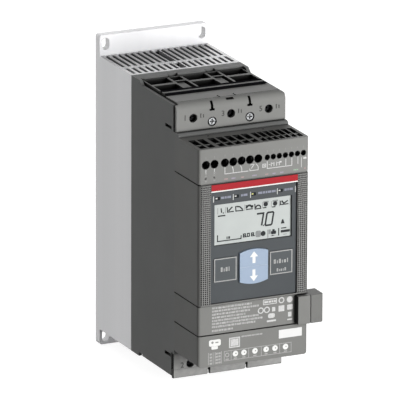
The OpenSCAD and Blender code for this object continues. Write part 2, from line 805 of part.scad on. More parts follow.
// Perforated strip: rows of ridges on a plate, cut to the round edge of the display frame
module grille(s) {
    z = [display_low + grille_end, strip_top - grille_end];
    rows = floor((z[1] - z[0] - grille_end) / grille_row);
    low = (z[0] + z[1]) / 2 - rows * grille_row / 2;
    x = s * (half_w - grille_side - grille_w / 2);
    back = face - grille_t;
    color([0.36, 0.36, 0.36]) intersection() {
        union() {
            facing([back, back + grille_t / 2]) grille_bed(s, 0);
            across(around(x, grille_w / 2)) for (k = [0 : rows - 1])
                area([back, face], around(low + (k + 0.5) * grille_row, grille_ridge));
        }
        plan(z) block_outline(face, display_r);
    }
}
module left_grille() { grille(-1); }
module right_grille() { grille(1); }
module rating_cover() {
    color(front_grey) difference() {
        plan([rating_low, display_low - seam]) band_wall();
        box(around(plug_x, plug_tongue[0] / 2 + slide_gap), [front - wall - cut, front + cut],
            around(rating_mid, plug_tongue[1] / 2 + slide_gap));
    }
}
module lower_cover() {
    z = [block_bottom, rating_low - seam];
    corner_r = 3;
    color(front_grey) intersection() {
        union() {
            plan(z) band_wall();
            plan([z[0], z[0] + wall]) block_outline(front, front_r);
        }
        facing([housing_front - cut, front + cut]) union() {
            area([-half_w, half_w], [z[0] + corner_r, z[1]]);
            area([-half_w + corner_r, half_w - corner_r], z);
            for (s = [-1, 1]) translate([s * (half_w - corner_r), z[0] + corner_r]) circle(corner_r);
        }
    }
}

// Control terminals: a strip per group, with a wire mouth above and a screw in front of each way
module strip(g) {
    edge = (g[3] == large_hole ? large_edge : small_edge) - seat_gap;
    last = g[0] + (g[2] - 1) * g[1];
    bed = control_board_d + board_t;
    top = block_top - wall - terminal_gap;
    color([0.20, 0.22, 0.22]) difference() {
        box([g[0] - edge, last + edge], [bed, bed + terminal_d - terminal_gap],
            [control_low + terminal_lift, top]);
        for (k = [0 : g[2] - 1]) {
            x = g[0] + k * g[1];
            rod(x, hole_z, [bed + screw_bed, bed + terminal_d], g[3] / 2 - terminal_play);
            box(around(x, g[4] / 2 - terminal_play),
                [bed + wire_mouth[0], bed + terminal_d - wire_mouth[1]], [top - wire_mouth[2], top + cut]);
        }
    }
}
module terminals_supply() { strip(supply); }
module terminals_relay() { strip(relay); }
module terminals_signal() { strip(signal); }
module terminal_screws() {
    bed = control_board_d + board_t + screw_bed;
    top = bed + screw_l;
    color(steel) for (g = groups, k = [0 : g[2] - 1]) difference() {
        rod(g[0] + k * g[1], hole_z, [bed, top], g[3] / 2 - terminal_play - screw_gap);
        box(around(g[0] + k * g[1], g[3]), [top - screw_slot[0], top + cut], around(hole_z, screw_slot[1]));
    }
}

// Keypad panel, display and lights
module keypad_panel() {
    color([0.27, 0.29, 0.32]) facing([panel_seat, panel_face]) difference() {
        panel_outline(0);
        panel_openings();
    }
}
module red_strip() {
    color([0.80, 0.08, 0.12]) facing([face, face + strip_t])
        area([-panel_w / 2, panel_w / 2], [strip_top - strip_h, strip_top]);
}
module lcd_module() {
    color([0.80, 0.83, 0.80]) union() {
        box(around(0, lcd_w / 2 + lcd_rim), [display_face, panel_seat - wall],
            around(lcd_mid, lcd_h / 2 + lcd_rim));
        box(around(0, lcd_w / 2 - lcd_play), [display_face, panel_face - lcd_sink],
            around(lcd_mid, lcd_h / 2 - lcd_play));
    }
}
module light_pipe(i) {
    color([0.85, 0.87, 0.80]) box(around(light_x[i], light_size[0] / 2),
        [display_face, panel_face + light_proud], around(light_z, light_size[1] / 2));
}
module ready_light() { light_pipe(0); }
module run_light() { light_pipe(1); }
module protection_light() { light_pipe(2); }
module fault_light() { light_pipe(3); }

// Keys: a cap through the panel, a flange behind the frame and a stem into its switch
stem_off = 0.5;
stem_lift = pad_h / 4 + stem_off;
up_z = key_z + stem_lift;
down_z = key_z - stem_lift;
switch_at = [[-key_x, key_z], [0, up_z], [0, down_z], [key_x, key_z]];
module key_body(stem, proud) {
    facing([key_back, panel_face + proud]) children(0);
    facing([key_back, key_seat]) children(1);
    rod(stem[0], stem[1], [stem_end, key_seat], stem_r);
}
module side_key(s) {
    color([0.30, 0.32, 0.35]) key_body([s * key_x, key_z], key_proud) {
        translate([s * key_x, key_z]) key_outline(0);
        translate([s * key_x, key_z]) key_outline(key_flange);
    }
}
module pad_half(s, grow) {
    intersection() {
        translate([0, key_z]) pad_outline(grow);
        area([-pad_w, pad_w], around(key_z + s * (pad_split + pad_h), pad_h));
    }
}
module arrow_key(s) {
    color([0.69, 0.77, 0.88]) key_body([0, s > 0 ? up_z : down_z], pad_proud) {
        pad_half(s, 0);
        pad_half(s, key_flange);
    }
}
module exit_key() { side_key(-1); }
module select_key() { side_key(1); }
module up_key() { arrow_key(1); }
module down_key() { arrow_key(-1); }
module key_switches() {
    color([0.15, 0.15, 0.15]) for (p = switch_at) difference() {
        box(around(p[0], switch_w / 2), [display_face, display_face + switch_h],
            around(p[1], switch_w / 2));
        rod(p[0], p[1], [display_face + switch_floor, display_face + switch_h + cut], stem_r + slide_gap);
    }
}

// Port: a socket on the control board, and a plug that wraps round the right front edge
module port_socket() {
    half = [plug_tongue[0] / 2, plug_tongue[1] / 2];
    bed = control_board_d + board_t;
    color([0.12, 0.12, 0.12]) difference() {
        box(around(plug_x, half[0] + socket_wall), [bed, front - wall],
            around(rating_mid, half[1] + socket_wall));
        box(around(plug_x, half[0] + slide_gap), [front - wall - socket_depth, front],
            around(rating_mid, half[1] + slide_gap));
    }
}
module port_plug_front() {
    z = around(rating_mid - seam / 2, plug_h / 2);
    tip = front + plug_proud;
    color(front_grey) union() {
        box([half_w - plug_w, half_w + slide_gap - plug_seam[0]], [front, tip], z);
        box([half_w - plug_w, half_w + slide_gap], [front, tip - plug_seam[1]], z);
        box(around(plug_x, plug_tongue[0] / 2), [front - wall - plug_bite, front + cut],
            around(rating_mid, plug_tongue[1] / 2));
    }
}
module port_plug_side() {
    inner = half_w + slide_gap;
    outer = inner + plug_w;
    tip = front + plug_proud;
    color(front_grey) plan(around(rating_mid - seam / 2, plug_h / 2)) polygon([
        [inner, front - plug_side_d], [outer, front - plug_side_d],
        [outer, tip - plug_chamfer], [outer - plug_chamfer, tip], [inner, tip]]);
}

heat_sink();
main_housing();
housing_screws();
line_terminal_block();
load_terminal_block();
line_terminal_cover();
load_terminal_cover();
cover_screws();
clamp_screws();
line_clamp(1);  // line_clamp_1
line_clamp(2);  // line_clamp_2
line_clamp(3);  // line_clamp_3
load_clamp(1);  // load_clamp_1
load_clamp(2);  // load_clamp_2
load_clamp(3);  // load_clamp_3
line_busbar(1);  // line_busbar_1
through_busbar_2();
line_busbar(3);  // line_busbar_3
load_busbar(1);  // load_busbar_1
load_busbar(3);  // load_busbar_3
thyristor_module(1);  // thyristor_module_1
thyristor_module(3);  // thyristor_module_3
module_screws();
bypass_relay(1);  // bypass_relay_1
bypass_relay(3);  // bypass_relay_3
current_transformer(1);  // current_transformer_1
current_transformer(3);  // current_transformer_3
power_board();
control_board();
board_screws();
control_cover();
display_frame();
rating_cover();
lower_cover();
left_grille();
right_grille();
terminals_supply();
terminals_relay();
terminals_signal();
terminal_screws();
keypad_panel();
red_strip();
lcd_module();
display_board();
key_switches();
ready_light();
run_light();
protection_light();
fault_light();
exit_key();
up_key();
down_key();
select_key();
port_socket();
port_plug_front();
port_plug_side();
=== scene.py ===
# %% [markdown]
# # A compact soft starter, dressed for its portrait
#
# A soft starter feeds a motor through two thyristor modules, so that it runs up gently. The heat of the
# modules goes into a finned aluminium extrusion on the wall, and everything that an electrician touches
# sits in front: the clamp terminals at both ends, the control terminals, and a small display with keys.
#
# The imported model already holds every solid piece at its true size. This script adds what solids don't
# show: the finish of each material, the pits of the two perforated strips, the print on the front, strips of
# painted shade in some gaps, and small edges.
#
# All lengths of the part are millimetres. A point is (x, depth, z): x to the right, depth out from the wall,
# and z up. The frame of the model is in metres with +Y towards the wall, so depth is -Y. The studio at the
# end is measured in metres too.

import json

import bpy
import numpy as np
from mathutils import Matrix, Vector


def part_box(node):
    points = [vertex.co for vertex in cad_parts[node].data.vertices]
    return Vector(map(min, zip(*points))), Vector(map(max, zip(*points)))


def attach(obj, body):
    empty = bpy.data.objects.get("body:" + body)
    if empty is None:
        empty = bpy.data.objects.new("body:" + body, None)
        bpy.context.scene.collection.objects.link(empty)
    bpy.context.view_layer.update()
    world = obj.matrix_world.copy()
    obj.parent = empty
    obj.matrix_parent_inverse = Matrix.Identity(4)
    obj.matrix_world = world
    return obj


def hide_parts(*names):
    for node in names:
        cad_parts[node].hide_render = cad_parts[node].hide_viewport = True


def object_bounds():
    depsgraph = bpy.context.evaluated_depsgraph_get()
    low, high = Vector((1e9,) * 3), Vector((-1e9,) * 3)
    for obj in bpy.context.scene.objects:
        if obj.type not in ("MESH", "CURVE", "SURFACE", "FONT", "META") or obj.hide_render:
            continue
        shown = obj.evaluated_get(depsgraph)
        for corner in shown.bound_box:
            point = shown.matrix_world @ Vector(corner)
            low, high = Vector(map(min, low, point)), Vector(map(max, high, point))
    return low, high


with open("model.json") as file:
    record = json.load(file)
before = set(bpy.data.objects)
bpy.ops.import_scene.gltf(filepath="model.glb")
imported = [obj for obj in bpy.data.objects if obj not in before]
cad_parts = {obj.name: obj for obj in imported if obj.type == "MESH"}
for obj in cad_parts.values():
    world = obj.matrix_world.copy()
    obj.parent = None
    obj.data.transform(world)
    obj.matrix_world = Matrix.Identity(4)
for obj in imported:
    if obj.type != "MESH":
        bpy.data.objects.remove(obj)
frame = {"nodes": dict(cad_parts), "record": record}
cad_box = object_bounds()
nodes = frame["nodes"]
MM = 0.001

# %% [markdown]
# ## Two ways to make a surface
#
# Print on a housing is a film of ink a few hundredths of a millimetre thick. It could be painted as a
# picture, but a picture blurs when the camera comes close and can't be measured. Here each mark is a
# closed outline in the front plane, carried along the depth into a very flat prism. The outlines come
# from short formulas, so a bar, a disc or an arrow stays sharp at any distance.
#
# Anything that isn't flat is a height field: a grid over x and z, with the depth as a function of both.

# %% Measures of the solids
def to_frame(points):
    """(x, depth, z) in millimetres becomes (x, -depth, z) in metres."""
    return np.asarray(points, float) * (MM, -MM, MM)


def corners(node):
    """The lower and the upper corner of a node's box in millimetres, with y towards the wall."""
    return tuple(np.array(corner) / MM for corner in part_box(node))


def level(node):
    """How far a node reaches out from the wall, in millimetres."""
    return -corners(node)[0][1]


print("control cover between", *np.round(corners("control_cover"), 1).tolist())


# %% Meshes from arrays
def add_piece(name, mesh, material, body):
    """Puts a finished mesh into the scene at the origin, with its finish and its body."""
    mesh.materials.append(material)
    piece = bpy.data.objects.new(name, mesh)
    bpy.context.scene.collection.objects.link(piece)
    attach(piece, body)
    return piece


def make_mesh(name, points, faces):
    """A mesh from an array of points and a list of faces, each a row of point numbers."""
    mesh = bpy.data.meshes.new(name)
    mesh.from_pydata(to_frame(points).tolist(), [], faces)
    mesh.update()
    return mesh


def prisms(outlines, back, front):
    """Carries closed outlines in (x, z) along the depth. Each gives a ring of points at the back and the
    same ring at the front; quads join the rings, and one face closes each end."""
    points, faces, first = [], [], 0
    for outline in outlines:
        n = len(outline)
        around = np.arange(n) + first
        after = np.roll(around, -1)
        points += [np.column_stack([outline[:, 0], np.full(n, d), outline[:, 1]]) for d in (back, front)]
        faces += np.column_stack([around, after, after + n, around + n]).tolist()
        faces += [(around + n).tolist(), around[::-1].tolist()]
        first += 2 * n
    return np.vstack(points), faces


def ink(name, outlines, depth, material, body="starter", film=0.03):
    """A printed film of even thickness on a face at this depth, one prism for each outline."""
    mesh = make_mesh(name, *prisms(outlines, depth, depth + film))
    return add_piece(name, mesh, material, body)


tile = np.array([(0.0, 0.0), (2.0, 0.0), (2.0, 1.0), (0.0, 1.0)])
tile_points, tile_faces = prisms([tile], 0.0, 0.03)
print("a flat tile:", len(tile_points), "points,", len(tile_faces), "faces")

# %% [markdown]
# The outlines run anticlockwise as seen from the front, so that the faces of the prisms look outwards.

# %% Outlines of simple marks
def bar(x, z, w, h, r=0.0):
    """A rectangle about (x, z) with quarter circles of radius r at its corners."""
    steps = 5 if r else 1
    sign = np.repeat([[1, 1], [-1, 1], [-1, -1], [1, -1]], steps, axis=0)
    turn = np.radians(np.add.outer((0, 90, 180, 270), np.linspace(0, 90, steps)).ravel())
    px = sign[:, 0] * (w / 2 - r) + r * np.cos(turn)
    pz = sign[:, 1] * (h / 2 - r) + r * np.sin(turn)
    return np.column_stack([x + px, z + pz])


def disc(x, z, r, steps=28):
    """Points at even angles on a circle of radius r."""
    turn = np.linspace(0, 2 * np.pi, steps, endpoint=False)
    return np.column_stack([x + r * np.cos(turn), z + r * np.sin(turn)])


def stroke(points, w, sharpest=0.4):
    """A line of even width through some points: every point moves half the width to both sides along the
    mean normal of its two neighbours, longer at a corner so that the width holds."""
    p = np.asarray(points, float)
    step = np.diff(p, axis=0)
    step /= np.linalg.norm(step, axis=1, keepdims=True)
    along = np.vstack([step[:1], step[:-1] + step[1:], step[-1:]])
    along /= np.linalg.norm(along, axis=1, keepdims=True)
    turn = np.sum(along * np.vstack([step[:1], step]), axis=1, keepdims=True)
    side = np.column_stack([-along[:, 1], along[:, 0]]) * w / 2 / np.maximum(turn, sharpest)
    return np.vstack([p - side, (p + side)[::-1]])


print("points of a round bar:", len(bar(0, 0, 4, 2, 0.5)), "of a disc:", len(disc(0, 0, 1)))


# %% Outlines made of several marks
def box_lines(x0, x1, z0, z1, w):
    """The four sides of a rectangle as bars that meet at the corners without lying on each other."""
    x, z = (x0 + x1) / 2, (z0 + z1) / 2
    flat = [bar(x, v, x1 - x0, w) for v in (z0 + w / 2, z1 - w / 2)]
    return flat + [bar(v, z, w, z1 - z0 - 2 * w) for v in (x0 + w / 2, x1 - w / 2)]


def ring(x, z, r, w, steps=24):
    """A circle drawn with a line of width w, as a row of short blocks between two radii."""
    turn = np.linspace(0, 2 * np.pi, steps + 1)
    circle = np.column_stack([np.cos(turn), np.sin(turn)])
    inner, outer = (x, z) + circle * (r - w), (x, z) + circle * r
    return list(np.stack([inner[:-1], outer[:-1], outer[1:], inner[1:]], axis=1))


def arc(x, z, r, start, end, w, steps=12):
    """A part of a circle from one angle to another, as a line of width w."""
    turn = np.radians(np.linspace(start, end, steps))
    return stroke(np.column_stack([x + r * np.cos(turn), z + r * np.sin(turn)]), w)


def words(x0, x1, z, h, first=0):
    """A line of print from x0 to x1 as bars as long as words. Six lengths take turns, beginning with the
    one that is asked for, and the gaps are a quarter as wide as the print is high."""
    length = np.tile(np.roll((2.6, 1.5, 3.3, 2.0, 1.2, 2.9), -first), 8)
    gap, shortest, corner = 0.25 * h, 0.5, 0.2
    start = x0 + np.cumsum(length + gap) - length - gap
    end = np.minimum(start + length, x1)
    return [bar((a + b) / 2, z, b - a, h, corner) for a, b in zip(start, end) if b - a > shortest]


def letters(x, z, heights, pitch, w):
    """A made-up word around x, standing on a line at z: small boxes and uprights take turns at an even
    pitch."""
    h = np.asarray(heights, float)
    at = x + (np.arange(len(h)) - (len(h) - 1) / 2) * pitch
    half = (pitch - 0.7 * w) / 2
    marks = [line for a, v in zip(at[::2], h[::2]) for line in box_lines(a - half, a + half, z, z + v, w)]
    return marks + [bar(a, z + v / 2, w, v) for a, v in zip(at[1::2], h[1::2])]


def digit(path, x, z, t, lean=0.17):
    """A leaning digit around (x, z): a line of width t along a path, sheared to the right with its height."""
    u, v = np.asarray(path, float).T
    return stroke(np.column_stack([x + u + lean * v, z + v]), t)


print("words on a line of 20 mm:", len(words(0, 20, 0, 1.5)))

# %% [markdown]
# ## Finishes
#
# No real surface has one single colour. Moulded plastic shows faint clouds where the melt flowed, and the
# spark-eroded mould leaves a grain finer than half a millimetre. An extrusion carries streaks along the
# way it was pressed, and rolled copper along the way it was rolled. One recipe covers all of them:
#
# - a broad noise moves the tone of the colour up and down by a few per cent,
# - a fine noise lifts the surface by some hundredths of a millimetre,
# - a stretch along one axis turns clouds into streaks,
# - the sides of some mouldings are painted a little darker than their front, as painted shade,
# - the edges of the solids, which are sharp, catch the light as if they were slightly rounded,
# - deep slots and holes, where little light comes back, are painted darker than the faces, as painted shade.
#
# The noises read the object coordinates, which are those of the model, so neighbouring pieces match.

# %% Small steps of the recipe
def ranged(tree, value, low, high, to_low=0.0, to_high=1.0):
    """The value carried from one range to another."""
    node = tree.nodes.new("ShaderNodeMapRange")
    for key, number in (("From Min", low), ("From Max", high), ("To Min", to_low), ("To Max", to_high)):
        node.inputs[key].default_value = number
    tree.links.new(value, node.inputs["Value"])
    return node.outputs["Result"]


def maths(tree, operation, value, other=None):
    """One step of reckoning on a value and a number or a second value."""
    node = tree.nodes.new("ShaderNodeMath")
    node.operation = operation
    tree.links.new(value, node.inputs[0])
    if isinstance(other, float):
        node.inputs[1].default_value = other
    elif other is not None:
        tree.links.new(other, node.inputs[1])
    return node.outputs["Value"]


def open_share(tree, place, ends):
    """The least share of its colour that a point of an extrusion keeps under the painted hollow shade. The
    ends are its lower end, its upper end and the depth of its flange. The share rises from 0 to 1 over the
    last two millimetres before an end, and what lies inside the flange has three tenths of it."""
    bottom, top, flange = (value * MM for value in ends)
    fade_start, fade_end, behind, before, inside = 2.2 * MM, 0.6 * MM, 0.3 * MM, 0.1 * MM, 0.3
    half = (top - bottom) / 2
    parts = tree.nodes.new("ShaderNodeSeparateXYZ")
    tree.links.new(place.outputs["Object"], parts.inputs["Vector"])
    from_middle = maths(tree, "ABSOLUTE", maths(tree, "SUBTRACT", parts.outputs["Z"], (bottom + top) / 2))
    beyond = ranged(tree, from_middle, half - fade_start, half - fade_end)
    in_front = ranged(tree, parts.outputs["Y"], behind - flange, before - flange, inside, 1.0)
    return maths(tree, "MULTIPLY", beyond, in_front)


def front_share(tree, place, coarse):
    """1 less the shares of painted side shade that faces along x, y and z lose, weighted by the size of the
    normal's parts.
    """
    facing, loss = (tree.nodes.new("ShaderNodeVectorMath") for _ in range(2))
    facing.operation, loss.operation = "ABSOLUTE", "DOT_PRODUCT"
    loss.inputs[1].default_value = coarse
    tree.links.new(place.outputs["Normal"], facing.inputs[0])
    tree.links.new(facing.outputs["Vector"], loss.inputs[0])
    return ranged(tree, loss.outputs["Value"], 0.0, 1.0, 1.0, 0.0)


flange_depth = 7.3
sink_ends = (*(corner[2] for corner in corners("main_housing")), flange_depth)
print("ends and flange of the extrusion:", np.round(sink_ends, 1).tolist())


# %% One recipe for the materials
def finish(name, colour, rough, metal=0.0, tone=0.05, patch=30.0, stretch=(1, 1, 1), lift=0.02,
           fine=2200.0, edge=0.3, shine=0.5, hollows=(), ends=None, coarse=None):
    """A shader whose colour is scaled by a broad noise and whose normal follows a fine one. Each entry of the
    hollow shade is a reach in millimetres, a factor and two shares: a place is painted darker, as painted
    shade, as the share of its half space that is free within reach falls from the larger to the smaller one,
    down to the factor. Near the ends of an extrusion this painted shade is held lighter, and the painted side
    shade takes some of the colour from faces along x, y and z."""
    material = bpy.data.materials.new(name)
    material.use_nodes = True
    tree = material.node_tree
    new, link = tree.nodes.new, tree.links.new
    shader = tree.nodes["Principled BSDF"]
    shader.inputs["Roughness"].default_value = rough
    shader.inputs["Metallic"].default_value = metal
    shader.inputs["Specular IOR Level"].default_value = shine

    place = new("ShaderNodeTexCoord")
    grid = new("ShaderNodeMapping")
    grid.inputs["Scale"].default_value = stretch
    link(place.outputs["Object"], grid.inputs["Vector"])

    def noise(size, detail):
        """The value of a noise with this size and detail."""
        node = new("ShaderNodeTexNoise")
        node.inputs["Scale"].default_value = size
        node.inputs["Detail"].default_value = detail
        link(grid.outputs["Vector"], node.inputs["Vector"])
        return node.outputs["Fac"]

    noise_low, noise_high = 0.3, 0.7
    scale = ranged(tree, noise(patch, 4.0), noise_low, noise_high, 1 - tone, 1 + tone)
    least_share = open_share(tree, place, ends) if ends else None
    for reach, factor, least, most in hollows:
        sheltered = new("ShaderNodeAmbientOcclusion")
        sheltered.samples = 16
        sheltered.inputs["Distance"].default_value = reach * MM
        darker = ranged(tree, sheltered.outputs["AO"], least, most, factor, 1.0)
        if ends:
            darker = maths(tree, "MAXIMUM", darker, least_share)
        scale = maths(tree, "MULTIPLY", scale, darker)
    if coarse:
        scale = maths(tree, "MULTIPLY", scale, front_share(tree, place, coarse))
    shade = new("ShaderNodeVectorMath")
    shade.operation = "SCALE"
    shade.inputs[0].default_value = colour
    link(scale, shade.inputs["Scale"])
    link(shade.outputs["Vector"], shader.inputs["Base Color"])

    bump = new("ShaderNodeBump")
    bump.inputs["Distance"].default_value = lift * MM
    link(noise(fine, 2.0), bump.inputs["Height"])
    if edge:
        soft = new("ShaderNodeBevel")
        soft.samples = 4
        soft.inputs["Radius"].default_value = edge * MM
        link(soft.outputs["Normal"], bump.inputs["Normal"])
    link(bump.outputs["Normal"], shader.inputs["Normal"])
    return material


def moulding(name, colour, rough=0.6, **more):
    """Moulded plastic: so dull that it keeps its colour where the light grazes it."""
    return finish(name, colour, rough, shine=0.07, **more)


dark_moulding = finish("dark_moulding", (0.012, 0.012, 0.013), 0.7)
print("nodes of the plainest finish:", len(dark_moulding.node_tree.nodes))

# %% [markdown]
# The painted shade of the hollows differs with their size: a wire slot is a few millimetres wide, a cable
# mouth more than ten. The reach has to be clearly longer than the slot is wide, or its walls stay as light as
# the faces.

# %% Finishes of the solids
grey = (0.127, 0.127, 0.122)
along_z = (1.0, 1.0, 0.03)
# sides, cover_sides and housing_sides are painted side shade: the shares of colour that faces along x, y and
# z lose.
sides, cover_sides, housing_sides = (0.2, 0.0, 0.08), (0.1, 0.0, 0.13), (0.08, 0.0, 0.05)
# Each table from slots to recesses is painted hollow shade: a reach, a factor and two shares.
slots = ((5.0, 0.02, 0.46, 0.8),)
wire_slots = ((10.0, 0.02, 0.56, 0.70),)
channels = ((5.0, 0.14, 0.58, 0.76),)
mouths = ((3.5, 0.03, 0.5, 0.85), (25.0, 0.02, 0.42, 0.8))
shelves = ((5.0, 0.03, 0.46, 0.72),)
wells = ((20.0, 0.04, 0.3, 0.7),)
pits = ((1.5, 0.04, 0.4, 0.85),)
recesses = ((1.6, 0.15, 0.5, 0.95),)
finishes = {
    "aluminium": finish("blasted_aluminium", (0.428, 0.428, 0.435), 0.60, 0.85, 0.03, 60.0, along_z,
                        edge=0.1, shine=0.2, hollows=channels, ends=sink_ends),
    "housing_plastic": moulding("housing_moulding", (0.108, 0.110, 0.108), hollows=shelves,
                                coarse=housing_sides),
    "front_plastic": moulding("front_moulding", grey, 0.58, hollows=slots, coarse=sides),
    "block_plastic": moulding("block_moulding", (0.086, 0.086, 0.083), hollows=mouths),
    "dark_plastic": dark_moulding,
    "panel_film": finish("panel_film", (0.038, 0.042, 0.045), 0.5, lift=0.008, edge=0.1, shine=0.12),
    "red_film": finish("red_film", (0.205, 0.004, 0.008), 0.5, tone=0.04, lift=0.0, edge=0.1, shine=0.12),
    "grille_plastic": moulding("strip_moulding", (0.142, 0.142, 0.138), edge=0.0, hollows=pits),
    "key_dark": finish("dark_key_film", (0.047, 0.052, 0.055), 0.5, lift=0.008, edge=0.15, shine=0.12),
    "key_blue": finish("blue_key_film", (0.176, 0.220, 0.284), 0.5, lift=0.008, edge=0.3, shine=0.2),
    "display_glass": finish("display_glass", (0.272, 0.288, 0.280), 0.4, tone=0.03, patch=60.0, lift=0.0,
                            edge=0.0, shine=0.15),
    "light_lens": finish("clear_lens", (0.03, 0.03, 0.03), 0.25, lift=0.0, edge=0.1),
    "copper": finish("rolled_copper", (0.62, 0.30, 0.18), 0.35, 1.0, 0.06, 60.0, along_z, hollows=wells),
    "zinc_steel": finish("zinc_plate", (0.20, 0.205, 0.21), 0.5, 0.5, 0.06, 120.0, edge=0.8,
                         hollows=recesses),
    "circuit_board": finish("solder_mask", (0.02, 0.10, 0.055), 0.45, edge=0.0),
}
print("finishes by slot:", len(finishes))

# %% Finishes of single pieces
strip_finish = finish("terminal_strip", (0.010, 0.010, 0.011), 0.7, shine=0.1, hollows=slots)
cover_finish = moulding("cover_moulding", (0.135, 0.135, 0.130), hollows=slots, coarse=cover_sides)
# The load cover lies in the shadow of the control block; its moulding is painted lighter than the other
# covers, as painted light.
load_painted_light = moulding("load_moulding_painted_light", (0.190, 0.190, 0.185), tone=0.12, patch=240.0, hollows=slots)
slotted_finish = moulding("slotted_moulding", grey, 0.58, hollows=wire_slots, coarse=sides)
low_finish = moulding("low_moulding", (0.121, 0.121, 0.116), 0.58, hollows=slots, coarse=sides)
plug_finish = moulding("plug_moulding", (0.104, 0.104, 0.100), hollows=slots)
# The clamps and screws sit deep in their holes, in shade; their steel is painted nearly black, as painted
# shade.
blued_steel = finish("blued_steel", (0.05, 0.05, 0.055), 0.45, 0.8, 0.1, 120.0, edge=0.15, shine=0.2,
                     hollows=wells)
special = {"line_terminal_cover": cover_finish, "load_terminal_cover": load_painted_light,
           "control_cover": slotted_finish, "rating_cover": low_finish, "lower_cover": low_finish,
           "port_plug_front": low_finish, "port_plug_side": plug_finish}
special.update({name: blued_steel for name in nodes if "clamp" in name or name == "terminal_screws"})
special.update({name: strip_finish for name in nodes if name.startswith("terminals_")})
print("pieces with a finish of their own:", len(special))

# %% [markdown]
# The solids get the finish of the slot that the record names for them, or a finish of their own. Their shapes
# stay untouched.

# %% Dress the solids
slot_of = {part["node"]: part["material_slot"] for part in frame["record"]["subparts"]}
for name, node in nodes.items():
    node.data.materials.clear()
    node.data.materials.append(special.get(name, finishes[slot_of[name]]))
print("dressed:", ", ".join(sorted(set(slot_of.values()))))

# %% [markdown]
# Inks for the print. White ink over grey plastic is thin, so most of it dries to a pale grey; the display
# makes its marks with dark crystals behind glass.

# %% Inks
def film_of(name, colour, tone=0.12, patch=600.0, shine=0.1):
    """A thin film of ink: even gloss, uneven cover, no grain of its own."""
    return finish(name, colour, 0.6, tone=tone, patch=patch, lift=0.0, edge=0.0, shine=shine)


white_ink = film_of("white_ink", (0.46, 0.46, 0.45), 0.05)
bright_ink = film_of("bright_ink", (0.33, 0.33, 0.325))
pale_ink = film_of("pale_ink", (0.225, 0.225, 0.22))
print_ink = film_of("print_ink", (0.232, 0.232, 0.227), 0.25)
faint_ink = film_of("faint_ink", (0.158, 0.158, 0.153))
lilac_ink = film_of("lilac_ink", (0.140, 0.145, 0.178))
# The web of the pad is painted lighter than the blue keys, as a painted highlight along their split.
web_highlight_ink = film_of("web_film_highlight", (0.25, 0.295, 0.36))
# This dark ink is the print of the light windows, and painted shade in gaps, hole rims and slot funnels.
dark_ink_and_shade = film_of("dark_ink_and_shade", (0.006, 0.006, 0.007), shine=0.0)
# This black film is painted shade on the inner side of the plug.
shade_film_black = film_of("shade_film_black", (0.022, 0.022, 0.022), 0.3, 900.0, 0.0)
yellow_glint = film_of("yellow_glint", (0.34, 0.34, 0.10))
crystal = film_of("display_crystal", (0.012, 0.013, 0.014))
half_crystal = film_of("weak_crystal", (0.135, 0.140, 0.140))
plate_white = film_of("bare_plate", (0.43, 0.43, 0.425), 0.02, 60.0)
print("materials so far:", len(bpy.data.materials))

# %% [markdown]
# ## Levels of the front
#
# The control block is stepped in depth. Its bands are flush with each other, the display band stands out
# a little, the keypad panel lies sunk in it, and the display lies behind the panel. The levels are read
# from the solids, so that the print always lies on what carries it.

# %% Read the levels
band_d, bezel_d, panel_d = level("control_cover"), level("display_frame"), level("keypad_panel")
glass_d, side_key_d, pad_d = level("lcd_module"), level("exit_key"), level("up_key")
line_d, load_d = level("line_terminal_cover"), level("load_terminal_cover")
print("band, bezel, panel, glass, side key, pad:",
      np.round((band_d, bezel_d, panel_d, glass_d, side_key_d, pad_d), 2).tolist())

# %% [markdown]
# ## Perforated strips
#
# Two strips of fine pits run beside the keypad panel, over the round edge of the display band. On the real
# piece they are most likely moulded with the band, and pins in the mould leave the pits. Drilling hundreds
# of holes in the solid would make it heavy and add nothing that moves or fits, so the solid has plain ridges.
# Here the strip is a height field. Its ground follows the round edge, and every pit is a round well with a
# soft rim.

# %% The strips as height fields
def pitted_strip(name, node, side):
    """The depth over a grid of x and z: a flat that turns into a quarter circle at the outer edge, less a
    well around every cell's centre, whose wall falls smoothly between two radii. The strip is closed by
    walls along its rim and a flat back."""
    low, high = corners(node)
    columns, rows, fine = 5, 58, 6
    edge_r, pit, well, thick = 3.5, 0.95, (0.34, 0.58), 1.6
    u = np.linspace(0.0, columns, columns * fine + 1)
    v = np.linspace(0.0, rows, rows * fine + 1)
    x = low[0] + u / columns * (high[0] - low[0])
    z = low[2] + v / rows * (high[2] - low[2])
    half_w = corners("display_frame")[1][0]
    over = np.clip(side * x - (half_w - edge_r), 0.0, edge_r)
    ground = bezel_d - edge_r + np.sqrt(edge_r**2 - over**2)
    across = (u % 1.0 - 0.5) * (high[0] - low[0]) / columns
    upright = (v % 1.0 - 0.5) * (high[2] - low[2]) / rows
    away = np.hypot.outer(upright, across)
    fall = np.clip((well[1] - away) / (well[1] - well[0]), 0.0, 1.0)
    depth = ground - pit * fall**2 * (3 - 2 * fall)
    n, m = len(z), len(x)
    points = np.stack([np.broadcast_to(x, (n, m)), depth, np.broadcast_to(z[:, None], (n, m))], axis=-1)
    number = np.arange(n * m).reshape(n, m)
    quads = np.stack([number[:-1, :-1], number[:-1, 1:], number[1:, 1:], number[1:, :-1]], axis=-1)
    rim = np.concatenate([number[0, :-1], number[:-1, -1], number[-1, :0:-1], number[:0:-1, 0]])
    flat = points.reshape(-1, 3)
    back = flat[rim] * (1, 0, 1) + (0, bezel_d - thick, 0)
    foot = np.arange(len(rim)) + n * m
    walls = np.column_stack([rim, foot, np.roll(foot, -1), np.roll(rim, -1)])
    faces = quads.reshape(-1, 4).tolist() + walls.tolist() + [foot[::-1].tolist()]
    mesh = make_mesh(name, np.vstack([flat, back]), faces)
    strip = add_piece(name, mesh, finishes["grille_plastic"], "starter")
    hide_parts(node)
    return strip


